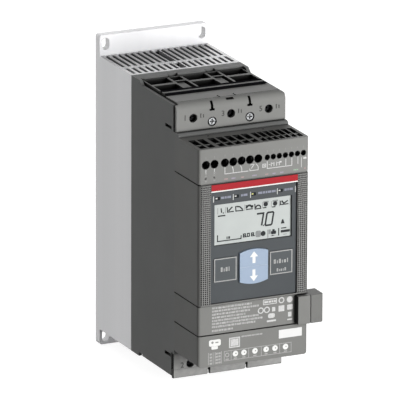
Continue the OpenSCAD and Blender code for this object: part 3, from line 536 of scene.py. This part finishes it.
for name, node, side in (("left_pitted_strip", "left_grille", -1), ("right_pitted_strip", "right_grille", 1)):
    strip = pitted_strip(name, node, side)
    print(name, len(strip.data.vertices), "points")

# %% [markdown]
# ## Closed seams
#
# The bands are separate mouldings with an open seam at the sides. In front, the seams above and below the
# display band look closed, as if a small lip of one band reached behind the other. A thin bead in each seam
# shows this, and so does one under the line terminal cover.

# %% Beads in three seams
bead_w, bead_deep, bead_gap, bead_round = 86.0, 2.0, 0.2, 0.1
foot_w, foot_h, foot_drop, foot_start, foot_deep = 88.0, 0.5, 0.3, 4.0, 3.8
for name, upper, lower in (("upper_seam_bead", "control_cover", "display_frame"),
                           ("lower_seam_bead", "display_frame", "rating_cover")):
    seam = np.array([corners(lower)[1][2], corners(upper)[0][2]])
    bead = [bar(0.0, seam.mean(), bead_w, np.ptp(seam) - bead_gap, bead_round)]
    ink(name, bead, band_d - bead_deep, finishes["front_plastic"], film=bead_deep)
    print(name, "from", np.round(seam, 2).tolist())
foot_z = corners("line_terminal_cover")[0][2] - foot_drop
foot_bead = [bar(0.0, foot_z, foot_w, foot_h, bead_round)]
ink("cover_foot_bead", foot_bead, line_d - foot_start, cover_finish, film=foot_deep)

# %% [markdown]
# ## Painted shade at the terminal blocks
#
# Two black lines cross each terminal block in front of the cable mouths, where a groove and a gap lie in
# shade.
# They are painted as strips of black painted shade: one strip lies on the block behind its front edge, and a
# second one closes the gap towards the terminal cover. A third one is painted shade for the broad dark seam
# at the two narrow sides of the load cover. All of them are flat strips that lie on the solids.

# %% Strips of painted shade
gap_shade_w, gap_shade_t = 82.4, 0.2
gap_shade_places = (("rear", -9.4, 3.5), ("front", -1.8, 4.9))
for side, end in (("line", 1), ("load", 0)):
    block_z, out = corners(side + "_terminal_block")[end][2], 2 * end - 1
    gap_shade = [bar(0.0, block_z + out * gap_shade_t / 2, gap_shade_w, gap_shade_t)]
    for place, start, length in gap_shade_places:
        ink(f"{side}_{place}_seal", gap_shade, level(side + "_terminal_block") + start, dark_ink_and_shade,
            film=length)
    print(side, "seals at", round(float(block_z), 2))

housing_end = corners("main_housing")[0][2]
cover_side, _, cover_top = corners("load_terminal_cover")[1]
side_t, side_start, side_deep = 0.04, 2.2, 1.9
gap_shade_low, gap_shade_high = housing_end + 0.5, cover_top - 0.3
side_gap_shades = [bar(way * (cover_side + side_t / 2), (gap_shade_low + gap_shade_high) / 2, side_t, gap_shade_high - gap_shade_low)
              for way in (-1, 1)]
ink("load_side_gap_shades", side_gap_shades, load_d - side_start, dark_ink_and_shade, film=side_deep)

# %% [markdown]
# ## Lip of the load cover
#
# The load cover ends in a small lip, flush with its front and with the end of the housing. It is broken where
# the two hooks of the cover reach round its edge. Three steps stand for its round edge: each is a flat prism
# that ends higher and reaches further out than the one before.

# %% The lip in three lengths
lip_overlap = 5.0
lip_top = corners("load_terminal_cover")[0][2] + lip_overlap
lip_lengths = ((-44.66, -16.5), (-14.5, 14.5), (16.5, 44.66))
lip_steps = ((0.0, -3.6, -1.2), (0.45, -1.3, -0.5), (1.1, -0.6, 0.03))
for number, (rise, start, reach) in enumerate(lip_steps, 1):
    tall, middle = lip_top - housing_end - rise, (lip_top + housing_end + rise) / 2
    lengths = [bar((left + right) / 2, middle, right - left, tall) for left, right in lip_lengths]
    ink(f"load_lip_{number}", lengths, load_d + start, load_painted_light, film=reach - start)
print("lip from", round(float(housing_end), 2), "to", round(float(lip_top), 2))

# %% [markdown]
# ## Print around the control terminals
#
# Every control hole has a short tick that leads to its label, and brackets join the holes that belong to
# one switching contact or one group of inputs. The contact of a relay is drawn as a slanted stroke. Small
# bars of faint tints stand for the labels. A dark ring of painted shade stands for the shaded countersink of
# each hole.

# %% Ticks and painted rim shade of the control holes
supply_x = (-39.2, -32.2)
relay_x = tuple(-23.7 + 6.8 * k for k in range(5))
signal_x = tuple(10.9 + 4.95 * k for k in range(7))
band_top = corners("control_cover")[1][2]
hole_drop, tick_w, tick_h, large_tick_z, small_tick_z = 12.0, 0.4, 1.8, 73.4, 72.6
hole_z = band_top - hole_drop
ticks = [bar(x, large_tick_z, tick_w, tick_h) for x in supply_x + relay_x]
ticks += [bar(x, small_tick_z, tick_w, tick_h) for x in signal_x]
ticks += [bar(x, z, 1.6, 1.2, 0.2) for x in supply_x for z in (59.6, 57.6, 55.6)]
ink("terminal_ticks", ticks, band_d, faint_ink)
large_rim, small_rim = (3.3, 0.3), (2.2, 0.35)
rim_shade = [block for x in supply_x + relay_x for block in ring(x, hole_z, *large_rim)]
rim_shade += [block for x in signal_x for block in ring(x, hole_z, *small_rim)]
ink("hole_rim_shade", rim_shade, band_d, dark_ink_and_shade, film=0.02)
print("control holes:", len(supply_x + relay_x + signal_x), "ticks:", len(ticks))

# %% [markdown]
# The wires come in from above through a row of slots. Each slot has a small funnel that lies in shade, and a
# rib crosses it behind the middle. The funnels and the back ends of the slots are painted as dark films of
# painted shade on the top face, the ribs lie inside the slots.

# %% Painted shade of the funnels, and ribs of the wire slots
slot_inset, slot_length, funnel_end, funnel_t = 3.5, 20.5, 2.0, 0.02
wide_slot, narrow_slot = (4.4, 0.35), (3.3, 0.22)
rib_share, rib_t, rib_h, rib_gap = 0.42, 0.4, 0.48, 0.1
slot_front = band_d - slot_inset
slot_back = slot_front - slot_length - funnel_end
slot_places = [(x, *wide_slot) for x in supply_x + relay_x] + [(x, *narrow_slot) for x in signal_x]
funnel_shade = [bar(x + way * (w + t) / 2, band_top + funnel_t / 2, t, funnel_t) for x, w, t in slot_places
           for way in (-1, 1)]
ink("slot_funnel_shade", funnel_shade, slot_back, dark_ink_and_shade, film=slot_length + funnel_end)
slot_end_shade = [bar(x, band_top + funnel_t / 2, w, funnel_t) for x, w, t in slot_places]
ink("slot_end_shade", slot_end_shade, slot_back, dark_ink_and_shade, film=funnel_end)
rib_finish = moulding("rib_moulding", grey, 0.58, coarse=sides)
rib_d = slot_front - rib_share * slot_length
ribs = [bar(x, band_top - rib_h / 2, w - rib_gap, rib_h) for x, w, t in slot_places]
ink("slot_ribs", ribs, rib_d - rib_t / 2, rib_finish, film=rib_t)
print("wire slots:", len(slot_places))

# %% Brackets of the contacts
thin, base = 0.55, 59.4
lines = [
    [(relay_x[0], 64.6), (relay_x[0], base), (relay_x[3] - 1.2, base)],
    [(relay_x[1] - 0.7, 64.4), (relay_x[1], 61.8), (relay_x[1], base)],
    [(relay_x[2] - 0.9, 64.4), (relay_x[2] + 0.2, 62.0), (relay_x[2] + 0.2, base)],
    [(relay_x[3], 61.0), (relay_x[3], base), (relay_x[4], base), (relay_x[4], 61.4)],
    [(relay_x[3] + 0.4, 63.9), (relay_x[3] + 3.4, 63.9), (relay_x[3] + 1.2, 61.0)],
    [(relay_x[4] - 1.8, 64.2), (relay_x[4] + 0.2, 61.6)],
    [(signal_x[0], 65.0), (signal_x[0], base), (signal_x[4] + 0.4, base), (signal_x[4] + 0.4, 65.4)],
]
brackets = [bar(x, 62.6, thin, 4.0) for x in supply_x] + [stroke(line, thin) for line in lines]
brackets += [bar(signal_x[3] + 0.4, 62.3, thin, 5.4), bar(signal_x[5] + 0.4, 62.9, 0.45, 6.0)]
brackets += [bar(signal_x[6] - 1.6, 60.8, 0.45, 7.6), bar(signal_x[6] + 1.2, 63.9, 2.6, 1.4, 0.3)]
brackets += box_lines(6.9, 9.9, 60.5, 63.4, thin) + [bar(8.4, 62.0, 0.9, 0.9)]
brackets += [bar(x, 62.2, thin, 3.0) for x in (14.2, 16.4, 18.6, 20.8)]
brackets += [bar(x, 62.9, 1.2, 0.5) for x in (15.3, 19.7)]
brackets += [bar(21.9, 63.3, 1.4, 1.2, 0.2), bar(12.8, 62.2, 1.4, 0.5)]
ink("contact_brackets", brackets, band_d, bright_ink)
print("bracket marks:", len(brackets))

# %% Label bars in faint tints
tints = {
    "warm": ((0.19, 0.135, 0.13),
             ((-22.8, 55.4, 3.0), (-9.3, 55.2, 2.6), (10.6, 55.0, 2.4), (42.0, 55.9, 1.6))),
    "violet": ((0.155, 0.14, 0.175),
               ((-16.7, 55.3, 3.4), (0.5, 55.4, 4.0), (16.5, 54.9, 2.6), (23.0, 55.0, 3.0))),
    "green": ((0.14, 0.20, 0.14), ((34.4, 55.6, 4.0),)),
    "plain": ((0.165, 0.165, 0.16),
              ((-39.1, 61.2, 1.5), (-39.1, 57.4, 1.8), (-32.2, 61.4, 1.5), (-32.6, 57.6, 1.8))),
}
for tint, (colour, places) in tints.items():
    tint_ink = finish(tint + "_tint", colour, 0.6, tone=0.2, patch=800.0, lift=0.004, edge=0.0)
    bars = [bar(x, z, w, 1.0, 0.2) for x, z, w in places]
    ink(tint + "_labels", bars, band_d, tint_ink)
    print(tint, "labels:", len(bars))

# %% [markdown]
# ## Keypad panel
#
# The panel is a printed film. A white line closes the red strip above it. Four small windows show the
# state of the starter, each with a divider at its left and a label after it.

# %% White line, light windows and labels
line_w, line_h, line_drop = 70.6, 0.9, 0.5
line_z = corners("red_strip")[0][2] - line_drop
ink("white_line", [bar(0.0, line_z, line_w, line_h)], bezel_d, white_ink, film=0.05)

lights = ("ready_light", "run_light", "protection_light", "fault_light")
light_x = [sum(corners(light))[0] / 2 for light in lights]
light_z, lens_d = sum(corners(lights[0]))[2] / 2, level(lights[0])
dividers = [bar(x, light_z - 0.4, 0.6, 4.6) for x in (-32.6, -16.5, -2.4, 19.6, 34.4)]
ink("light_dividers", dividers, panel_d, bright_ink)
windows = [bar(x + 0.6, light_z - 0.1, 3.9, 2.5, 0.3) for x in light_x]
ink("light_windows", windows, panel_d, dark_ink_and_shade, film=0.02)
glints = [bar(x - 0.2, light_z + 0.1, 1.5, 0.9, 0.3) for x in light_x]
ink("light_glints", glints[:2] + glints[3:], lens_d, bright_ink, film=0.01)
ink("yellow_light_glint", glints[2:3], lens_d, yellow_glint, film=0.01)
label_ends = ((-26.4, -18.4), (-10.2, -4.2), (3.9, 18.6), (25.4, 32.8))
labels = [mark for k, (a, b) in enumerate(label_ends) for mark in words(a, b, light_z + 0.1, 1.7, k)]
ink("light_labels", labels, panel_d, lilac_ink)
print("lights at", np.round(light_x, 1).tolist(), "label bars:", len(labels))

# %% [markdown]
# The side keys have a light frame and a legend of made-up letters, and the pad between them carries two
# arrows. All of this is printed on the keys, so it rides on their bodies and goes in with them. A web of the
# film joins the two halves of the pad; it is painted lighter than the keys, as a painted highlight along the
# split.

# %% Frames, legends and arrows of the keys
key_low, key_high = corners("exit_key")
key_x, key_z = abs(key_low[0] + key_high[0]) / 2, (key_low[2] + key_high[2]) / 2
half_w, half_h, frame_w = 9.2, 9.0, 0.75
for key, x in (("exit_key", -key_x), ("select_key", key_x)):
    frame_lines = box_lines(x - half_w, x + half_w, key_z - half_h, key_z + half_h, frame_w)
    ink(key + "_frame", frame_lines, side_key_d, pale_ink, key)
exit_marks = letters(-key_x, key_z - 1.4, (3.4, 2.4, 3.2, 3.4), 2.0, 0.7)
ink("exit_key_legend", exit_marks, side_key_d, pale_ink, "exit_key")
select_marks = letters(key_x, key_z - 0.6, (3.2, 2.3, 3.2, 2.3, 2.3, 3.2), 2.1, 0.7)
select_marks += letters(key_x + 0.2, key_z - 6.9, (2.4, 1.7, 1.7, 1.7, 2.4), 1.6, 0.55)
ink("select_key_legend", select_marks, side_key_d, pale_ink, "select_key")


def arrow(x, z, way):
    """An upright arrow: a triangle on a shaft, mirrored when it points down."""
    half = np.array([(1.2, -4.5), (1.2, 0.4), (3.3, 0.4), (0.0, 4.6)])
    shape = np.vstack([half, half[-2::-1] * (-1, 1)]) * (1, way)
    return (shape if way > 0 else shape[::-1]) + (x, z)


for key, way in (("up_key", 1), ("down_key", -1)):
    ink(key + "_arrow", [arrow(0.0, key_z + way * 7.0, way)], pad_d, white_ink, key)
web_w, web_h, web_sunk = 22.8, 0.48, 0.05
ink("pad_web", [bar(0.0, key_z, web_w, web_h)], panel_d, web_highlight_ink, film=pad_d - panel_d - web_sunk)
print("key centres", round(float(key_x), 1), round(float(key_z), 1))

# %% [markdown]
# ## Display
#
# The display is a segment glass: every mark is a fixed shape that is switched dark. A row of small
# pictures along the top stands for the settings (levels and ramps), a reading in leaning digits fills the
# middle, and a scale with small state marks closes the bottom. The pictures are plain strokes and discs.

# %% Pictures along the top
fine, bold = 0.85, 1.05
pictures = [stroke([(-25.6, 32.5), (-25.1, 29.0)], 0.9), bar(-23.7, 28.7, 0.9, 0.9),
            bar(-25.1, 26.6, 6.2, 1.0)]
pictures += [stroke([(-20.6, 32.7), (-20.3, 28.9), (-15.1, 28.9)], fine),
             stroke([(-19.5, 29.7), (-16.3, 32.6)], bold)]
pictures += [stroke([(-13.7, 32.8), (-13.5, 28.9), (-7.2, 28.7)], fine),
             stroke([(-13.1, 32.4), (-10.2, 31.8), (-7.8, 29.4)], bold)]
pictures += [arc(-2.6, 29.6, 2.3, 5, 175, 1.5), bar(-2.4, 29.0, 5.6, fine), bar(-4.9, 31.9, 1.4, 0.8),
             bar(0.2, 31.0, 1.2, 1.6)]
pictures += [stroke([(2.0, 32.5), (2.3, 28.5), (7.4, 28.5)], fine), arc(4.8, 29.1, 2.0, 0, 175, bold)]
pictures += [disc(11.0, 31.2, 1.8), bar(10.2, 28.6, 2.8, fine), disc(18.7, 30.8, 1.8),
             bar(17.6, 28.3, 2.8, fine)]
pictures += [stroke([(23.2, 32.4), (23.0, 29.3), (29.7, 29.3)], fine),
             stroke([(24.1, 32.3), (25.9, 29.9)], 1.1),
             stroke([(25.9, 30.1), (29.1, 31.9)], 1.0)]
ink("display_pictures", pictures, glass_d, crystal)
print("picture marks:", len(pictures))

# %% Reading in the middle
seven = [(-2.9, 4.6), (2.6, 4.6), (2.6, -4.8)]
half_zero = np.array([(0.0, 4.9), (2.0, 4.9), (2.7, 4.2), (2.7, -4.2), (2.0, -4.9), (0.0, -4.9)])
digit_w = 1.35
reading = [digit(seven, 5.9, 19.9, digit_w)]
reading += [digit(half_zero * (way, 1), 14.1, 19.6, digit_w) for way in (-1, 1)]
reading += [bar(9.3, 15.0, 1.0, 1.0, 0.2),
            np.array([(23.4, 14.5), (26.6, 14.5), (25.5, 17.8), (24.5, 17.8)])]
ink("display_reading", reading, glass_d, crystal)
print("reading marks:", len(reading))

# %% Scale and states along the bottom
states = [stroke([(-28.4, 12.0), (-28.4, 7.1), (-9.2, 7.1), (-9.0, 9.6)], fine)]
states += [bar(-20.6, 9.1, 0.8, 2.0), bar(-18.9, 9.1, 1.5, 2.0, 0.4)]
states += [line for x in (-6.4, -3.1, 0.3) for line in box_lines(x - 1.25, x + 1.25, 7.6, 10.7, 0.8)]
states += [bar(x, 9.15, 0.9, 0.7) for x in (-6.4, 0.3)] + [bar(x, 7.9, 0.7, 0.8) for x in (-4.75, 2.0)]
states += [disc(9.0, 8.7, 2.0), bar(17.6, 8.5, 4.2, 2.6, 0.8), bar(17.5, 10.4, 2.0, 1.2, 0.4),
           bar(16.8, 6.3, 1.6, 0.6)]
states += [bar(21.8, 8.4, fine, 5.8), bar(25.9, 11.0, 4.4, fine), bar(27.2, 8.5, 7.6, 1.9, 0.4)]
ink("display_states", states, glass_d, crystal)

weak = [bar(5.0, 8.9, 4.6, 5.0, 1.4), bar(12.9, 8.0, fine, 6.4), bar(14.4, 9.4, 1.8, 3.6, 0.4)]
weak += [bar(x, 30.6, 0.45, 4.8) for x in (-28.3, -22.0, -6.2, 8.4, 15.6, 22.2, 31.0)]
weak += [bar(x, 32.9, 4.4, 1.4, 0.3) for x in (11.2, 18.8)] + [bar(x, 6.0, 3.0, 0.45) for x in (17.0, 27.0)]
ink("display_weak_marks", weak, glass_d, half_crystal, film=0.02)
print("state marks:", len(states), "weak marks:", len(weak))

# %% [markdown]
# ## Rating band and lower band
#
# The rating band carries lines of small print, and the lowest band the meaning of the lights. Whoever uses
# this part prints their own data there, so the lines are plain bars of uneven length, with rings, discs and
# squares beside them. A bare white plate is kept free for a label of the user's own.

# %% Lines of small print
line_start = -33.7
rows = ((-43.6, -1.2), (-46.0, 4.6), (-48.5, -2.0), (-51.0, -6.0), (-53.4, 4.6), (-55.8, 7.8), (-58.2, 2.0),
        (-61.2, -15.8))
small_print = [mark for k, (z, end) in enumerate(rows) for mark in words(line_start, end, z, 1.5, k)]
ink("rating_lines", small_print, band_d, print_ink)
signs = box_lines(8.2, 19.6, -46.4, -42.2, 0.6) + words(9.2, 18.8, -44.3, 1.6, 2)
signs += ring(23.4, -44.4, 2.4, 0.9) + [disc(30.2, -44.6, 2.4)]
signs += [block for x in (6.4, 11.4) for block in ring(x, -50.4, 2.5, 0.9)]
signs += [bar(17.0, -50.6, 2.6, 3.4, 0.3), bar(23.4, -50.8, 4.8, 4.6, 0.3), bar(30.4, -50.6, 4.6, 4.0, 0.6)]
signs += [bar(15.2, -55.4, 5.6, 3.6, 1.4), bar(15.2, -59.4, 7.6, 1.4, 0.3)]
signs += [bar(30.3, -56.2, 2.8, 3.6, 0.3), bar(30.4, -60.2, 4.2, 1.1, 0.2)]
ink("rating_signs", signs, band_d, bright_ink)
print("lines:", len(rows), "bars:", len(small_print), "marks beside them:", len(signs))

# %% Discs, squares and the bare plate of the lowest band
disc_x = (-21.1, -14.3, -7.3, 1.8, 11.0, 18.3, 27.0)
meaning = [disc(x, -81.2, 2.2) for x in disc_x[1:]]
meaning += [bar(-31.2, -70.6, 9.6, 5.0, 1.2), bar(-31.4, -74.4, 5.2, 2.4, 0.6)]
ink("meaning_discs", meaning, band_d, white_ink)
spots = [disc(x + 0.4, -81.1, 0.55) for x in disc_x[1:]]
spots += [disc(-33.2, -70.2, 1.0), bar(-29.6, -70.4, 2.6, 1.0, 0.3)]
ink("meaning_spots", spots, band_d + 0.03, faint_ink, film=0.02)
boxes = box_lines(-23.7, 31.9, -86.0, -78.1, 0.45) + ring(disc_x[0], -81.4, 1.8, 0.7)
boxes += [bar(x, -82.05, 0.45, 7.0) for x in (-17.8, -3.4, 7.0, 22.2)]
boxes += [bar(x, -84.7, 2.6, 0.9, 0.2) for x in disc_x] + words(-9.4, 7.8, -68.5, 1.1)
boxes += [bar(x, -82.6, 0.5, 9.6) for x in (-36.4, -32.6, -31.0, -25.9)]
boxes += [bar(x, z, 1.9, 1.5, 0.3) for x in (-34.5, -29.6, -27.4) for z in (-79.2, -81.6, -84.0, -86.4)]
ink("meaning_boxes", boxes, band_d, pale_ink)
square = box_lines(-19.6, -10.6, -76.3, -68.3, 0.9) + [bar(-15.1, -72.3, 6.4, 5.4)]
ink("pale_square", square, band_d, bright_ink)
ink("bare_plate", [bar(30.9, -70.9, 19.0, 6.6, 0.3)], band_d, plate_white, film=0.1)
print("marks of the lowest band:", len(meaning) + len(spots) + len(boxes))

# %% [markdown]
# ## Painted shade at the plug
#
# A dark line runs between the print and the plug, where the inner side of the plug lies in shade. Here it is
# painted as a strip of black painted shade on that side of the plug.

# %% The strip of painted shade
plug_low, plug_high = corners("port_plug_front")
shade_film_t, shade_film_inset, shade_film_lift, shade_film_short = 0.3, 0.2, 0.05, 0.6
shade_film_deep = level("port_plug_front") - band_d - shade_film_short
shade_film = [bar(plug_low[0] - shade_film_t / 2, (plug_low[2] + plug_high[2]) / 2, shade_film_t,
            plug_high[2] - plug_low[2] - 2 * shade_film_inset)]
ink("plug_shade_film", shade_film, band_d + shade_film_lift, shade_film_black, film=shade_film_deep)
print("foam strip at", np.round(plug_low, 1).tolist())

# %% [markdown]
# ## Numbers of the terminals
#
# The poles are numbered 1, 3, 5 at the line end and 2, 4, 6 at the load end, raised in the mould. The
# digits are made as text, turned into a mesh, and only then carried to their place on the cover. Two small
# pegs stand beside each driver hole.

# %% Raised numbers and pegs
def raised_number(name, figure, x, z, depth, rise, size=5.94):
    """The figure's outline lies in the plane of (u, v) and is thickened along w. Its points go to
    (x + u, depth + w, z + v), so w runs out from the cover."""
    text = bpy.data.curves.new(name, "FONT")
    text.body = figure
    text.align_x, text.align_y = "CENTER", "CENTER"
    text.size, text.extrude = size, rise
    holder = bpy.data.objects.new(name + "_text", text)
    bpy.context.scene.collection.objects.link(holder)
    mesh = bpy.data.meshes.new_from_object(holder.evaluated_get(bpy.context.evaluated_depsgraph_get()))
    bpy.data.objects.remove(holder)
    bpy.data.curves.remove(text)
    flat = np.empty(len(mesh.vertices) * 3)
    mesh.vertices.foreach_get("co", flat)
    u, v, w = flat.reshape(-1, 3).T
    placed = to_frame(np.column_stack([x + u, depth + w, z + v]))
    mesh.vertices.foreach_set("co", placed.ravel())
    mesh.update()
    mesh.name = name
    mesh.materials.clear()
    return add_piece(name, mesh, number_finish, "starter")


number_finish = moulding("number_moulding", (0.052, 0.052, 0.050))
pole_x, number_side, number_rise = (-31.0, 0.0, 31.0), 6.6, 0.18
peg_w, peg_foot = 0.7, 1.1
peg_places = ((6.2, 3.4), (8.4, 2.6))
for side, depth, z, figures in (("line", line_d, 93.2, "135"), ("load", load_d, -100.2, "246")):
    for x, figure in zip(pole_x, figures):
        raised_number(f"{side}_number_{figure}", figure, x - number_side, z, depth, number_rise)
    pegs = [bar(x + across, z - peg_foot + h / 2, peg_w, h) for x in pole_x for across, h in peg_places]
    ink(side + "_pegs", pegs, depth, number_finish, film=number_rise)
    print(side, "numbers:", ", ".join(figures), "pegs:", len(pegs))

# %% [markdown]
# ## Studio
#
# The photograph was taken from the left and from above, through a long lens, so that upright lines stay
# parallel. The camera stands almost six metres away. Lengths in the studio are metres.

# %% Camera
aim = np.array([0.545, -89.86, 10.11]) * MM
azimuth, elevation, roll = np.radians((-25.03, 16.82, 0.23))
distance = 5.7373
flat = np.cos(elevation)
back = np.array([np.sin(azimuth) * flat, -np.cos(azimuth) * flat, np.sin(elevation)])
level_right = np.array([np.cos(azimuth), np.sin(azimuth), 0.0])
level_up = np.cross(back, level_right)
right = np.cos(roll) * level_right + np.sin(roll) * level_up
up = np.cross(back, right)

scene = bpy.context.scene
camera_data = bpy.data.cameras.new("camera")
camera_data.lens, camera_data.sensor_width = 686.55, 36.0
camera_data.clip_end = 100.0
camera = bpy.data.objects.new("camera", camera_data)
scene.collection.objects.link(camera)
pose = np.eye(4)
pose[:3, 0], pose[:3, 1], pose[:3, 2], pose[:3, 3] = right, up, back, aim + back * distance
camera.matrix_world = [list(row) for row in pose.T]
scene.camera = camera
print("camera at", np.round(pose[:3, 3], 3).tolist(), "lens", camera_data.lens)

# %% [markdown]
# The floor is pale and plain. It glows a little, so that it melts into the background, and it doesn't throw
# light back onto the part.

# %% Floor
floor_half, floor_z = 10.0, cad_box[0][2]
floor_corners = [(x * floor_half, y * floor_half, floor_z) for x, y in ((-1, -1), (1, -1), (1, 1), (-1, 1))]
floor_mesh = bpy.data.meshes.new("floor")
floor_mesh.from_pydata(floor_corners, [], [(0, 1, 2, 3)])
floor = bpy.data.objects.new("floor", floor_mesh)
scene.collection.objects.link(floor)
paper = finish("pale_floor", (0.3, 0.3, 0.3), 0.9, tone=0.004, patch=3.0, lift=0.0, edge=0.0, shine=0.0)
paper_shader = paper.node_tree.nodes["Principled BSDF"]
paper_shader.inputs["Emission Color"].default_value = (1.0, 1.0, 1.0, 1.0)
paper_shader.inputs["Emission Strength"].default_value = 0.9
floor_mesh.materials.append(paper)
floor.visible_diffuse = False
floor.visible_glossy = False
print("floor at", round(float(floor_z) / MM, 1))

# %% [markdown]
# A bright backdrop behind the part fades out to all sides. It is what the metal mirrors, on its side and on
# the tips of its fins. The strength is a curve over a share between 0 and 1: half of one plus the cosine of
# the angle between a direction and the middle of the backdrop.

# %% Backdrop
world = bpy.data.worlds.new("studio")
scene.world = world
world.use_nodes = True
new, link = world.node_tree.nodes.new, world.node_tree.links.new
sky = world.node_tree.nodes["Background"]
sky.inputs["Color"].default_value = (1.0, 1.0, 1.0, 1.0)
direction = new("ShaderNodeTexCoord")
towards = new("ShaderNodeVectorMath")
towards.operation = "DOT_PRODUCT"
towards.inputs[1].default_value = (0.1, 0.995, 0.0)
to_share = new("ShaderNodeMath")
to_share.operation = "MULTIPLY_ADD"
to_share.inputs[1].default_value, to_share.inputs[2].default_value = 0.5, 0.5
fade = new("ShaderNodeFloatCurve")
fade.mapping.clip_max_y = 10.0
curve = fade.mapping.curves[0]
strengths = ((0.0, 0.36), (0.30, 0.36), (0.74, 0.37), (0.84, 1.0), (0.90, 2.45), (1.0, 8.2))
for share, strength in strengths[1:-1]:
    curve.points.new(share, strength)
curve.points[0].location, curve.points[-1].location = strengths[0], strengths[-1]
fade.mapping.update()
link(direction.outputs["Generated"], towards.inputs[0])
link(towards.outputs["Value"], to_share.inputs[0])
link(to_share.outputs["Value"], fade.inputs["Value"])
link(fade.outputs["Value"], sky.inputs["Strength"])
print("backdrop from", strengths[0][1], "to", strengths[-1][1])

# %% [markdown]
# One broad lamp stands low in front and a little to the right, so the left side lies in soft shade and the
# front is brighter.

# %% Lamp
key_way = np.array([0.30, -0.94, 0.13])
key_way /= np.linalg.norm(key_way)
key_far, key_strength = 1.3, 2.0
key_data = bpy.data.lights.new("key", "AREA")
key_data.shape, key_data.size = "DISK", 0.75
key_data.energy = key_strength * np.pi**2 * key_far**2
key = bpy.data.objects.new("key", key_data)
scene.collection.objects.link(key)
key_up = np.array([0.0, 0.0, 1.0]) - key_way[2] * key_way
key_up /= np.linalg.norm(key_up)
key_pose = np.eye(4)
key_pose[:3, 0], key_pose[:3, 1], key_pose[:3, 2] = np.cross(key_up, key_way), key_up, key_way
key_pose[:3, 3] = aim + key_way * key_far
key.matrix_world = [list(row) for row in key_pose.T]
scene.view_settings.view_transform = "Standard"
print("lamp at", np.round(key_pose[:3, 3], 2).tolist(), "energy", round(float(key_data.energy), 1))
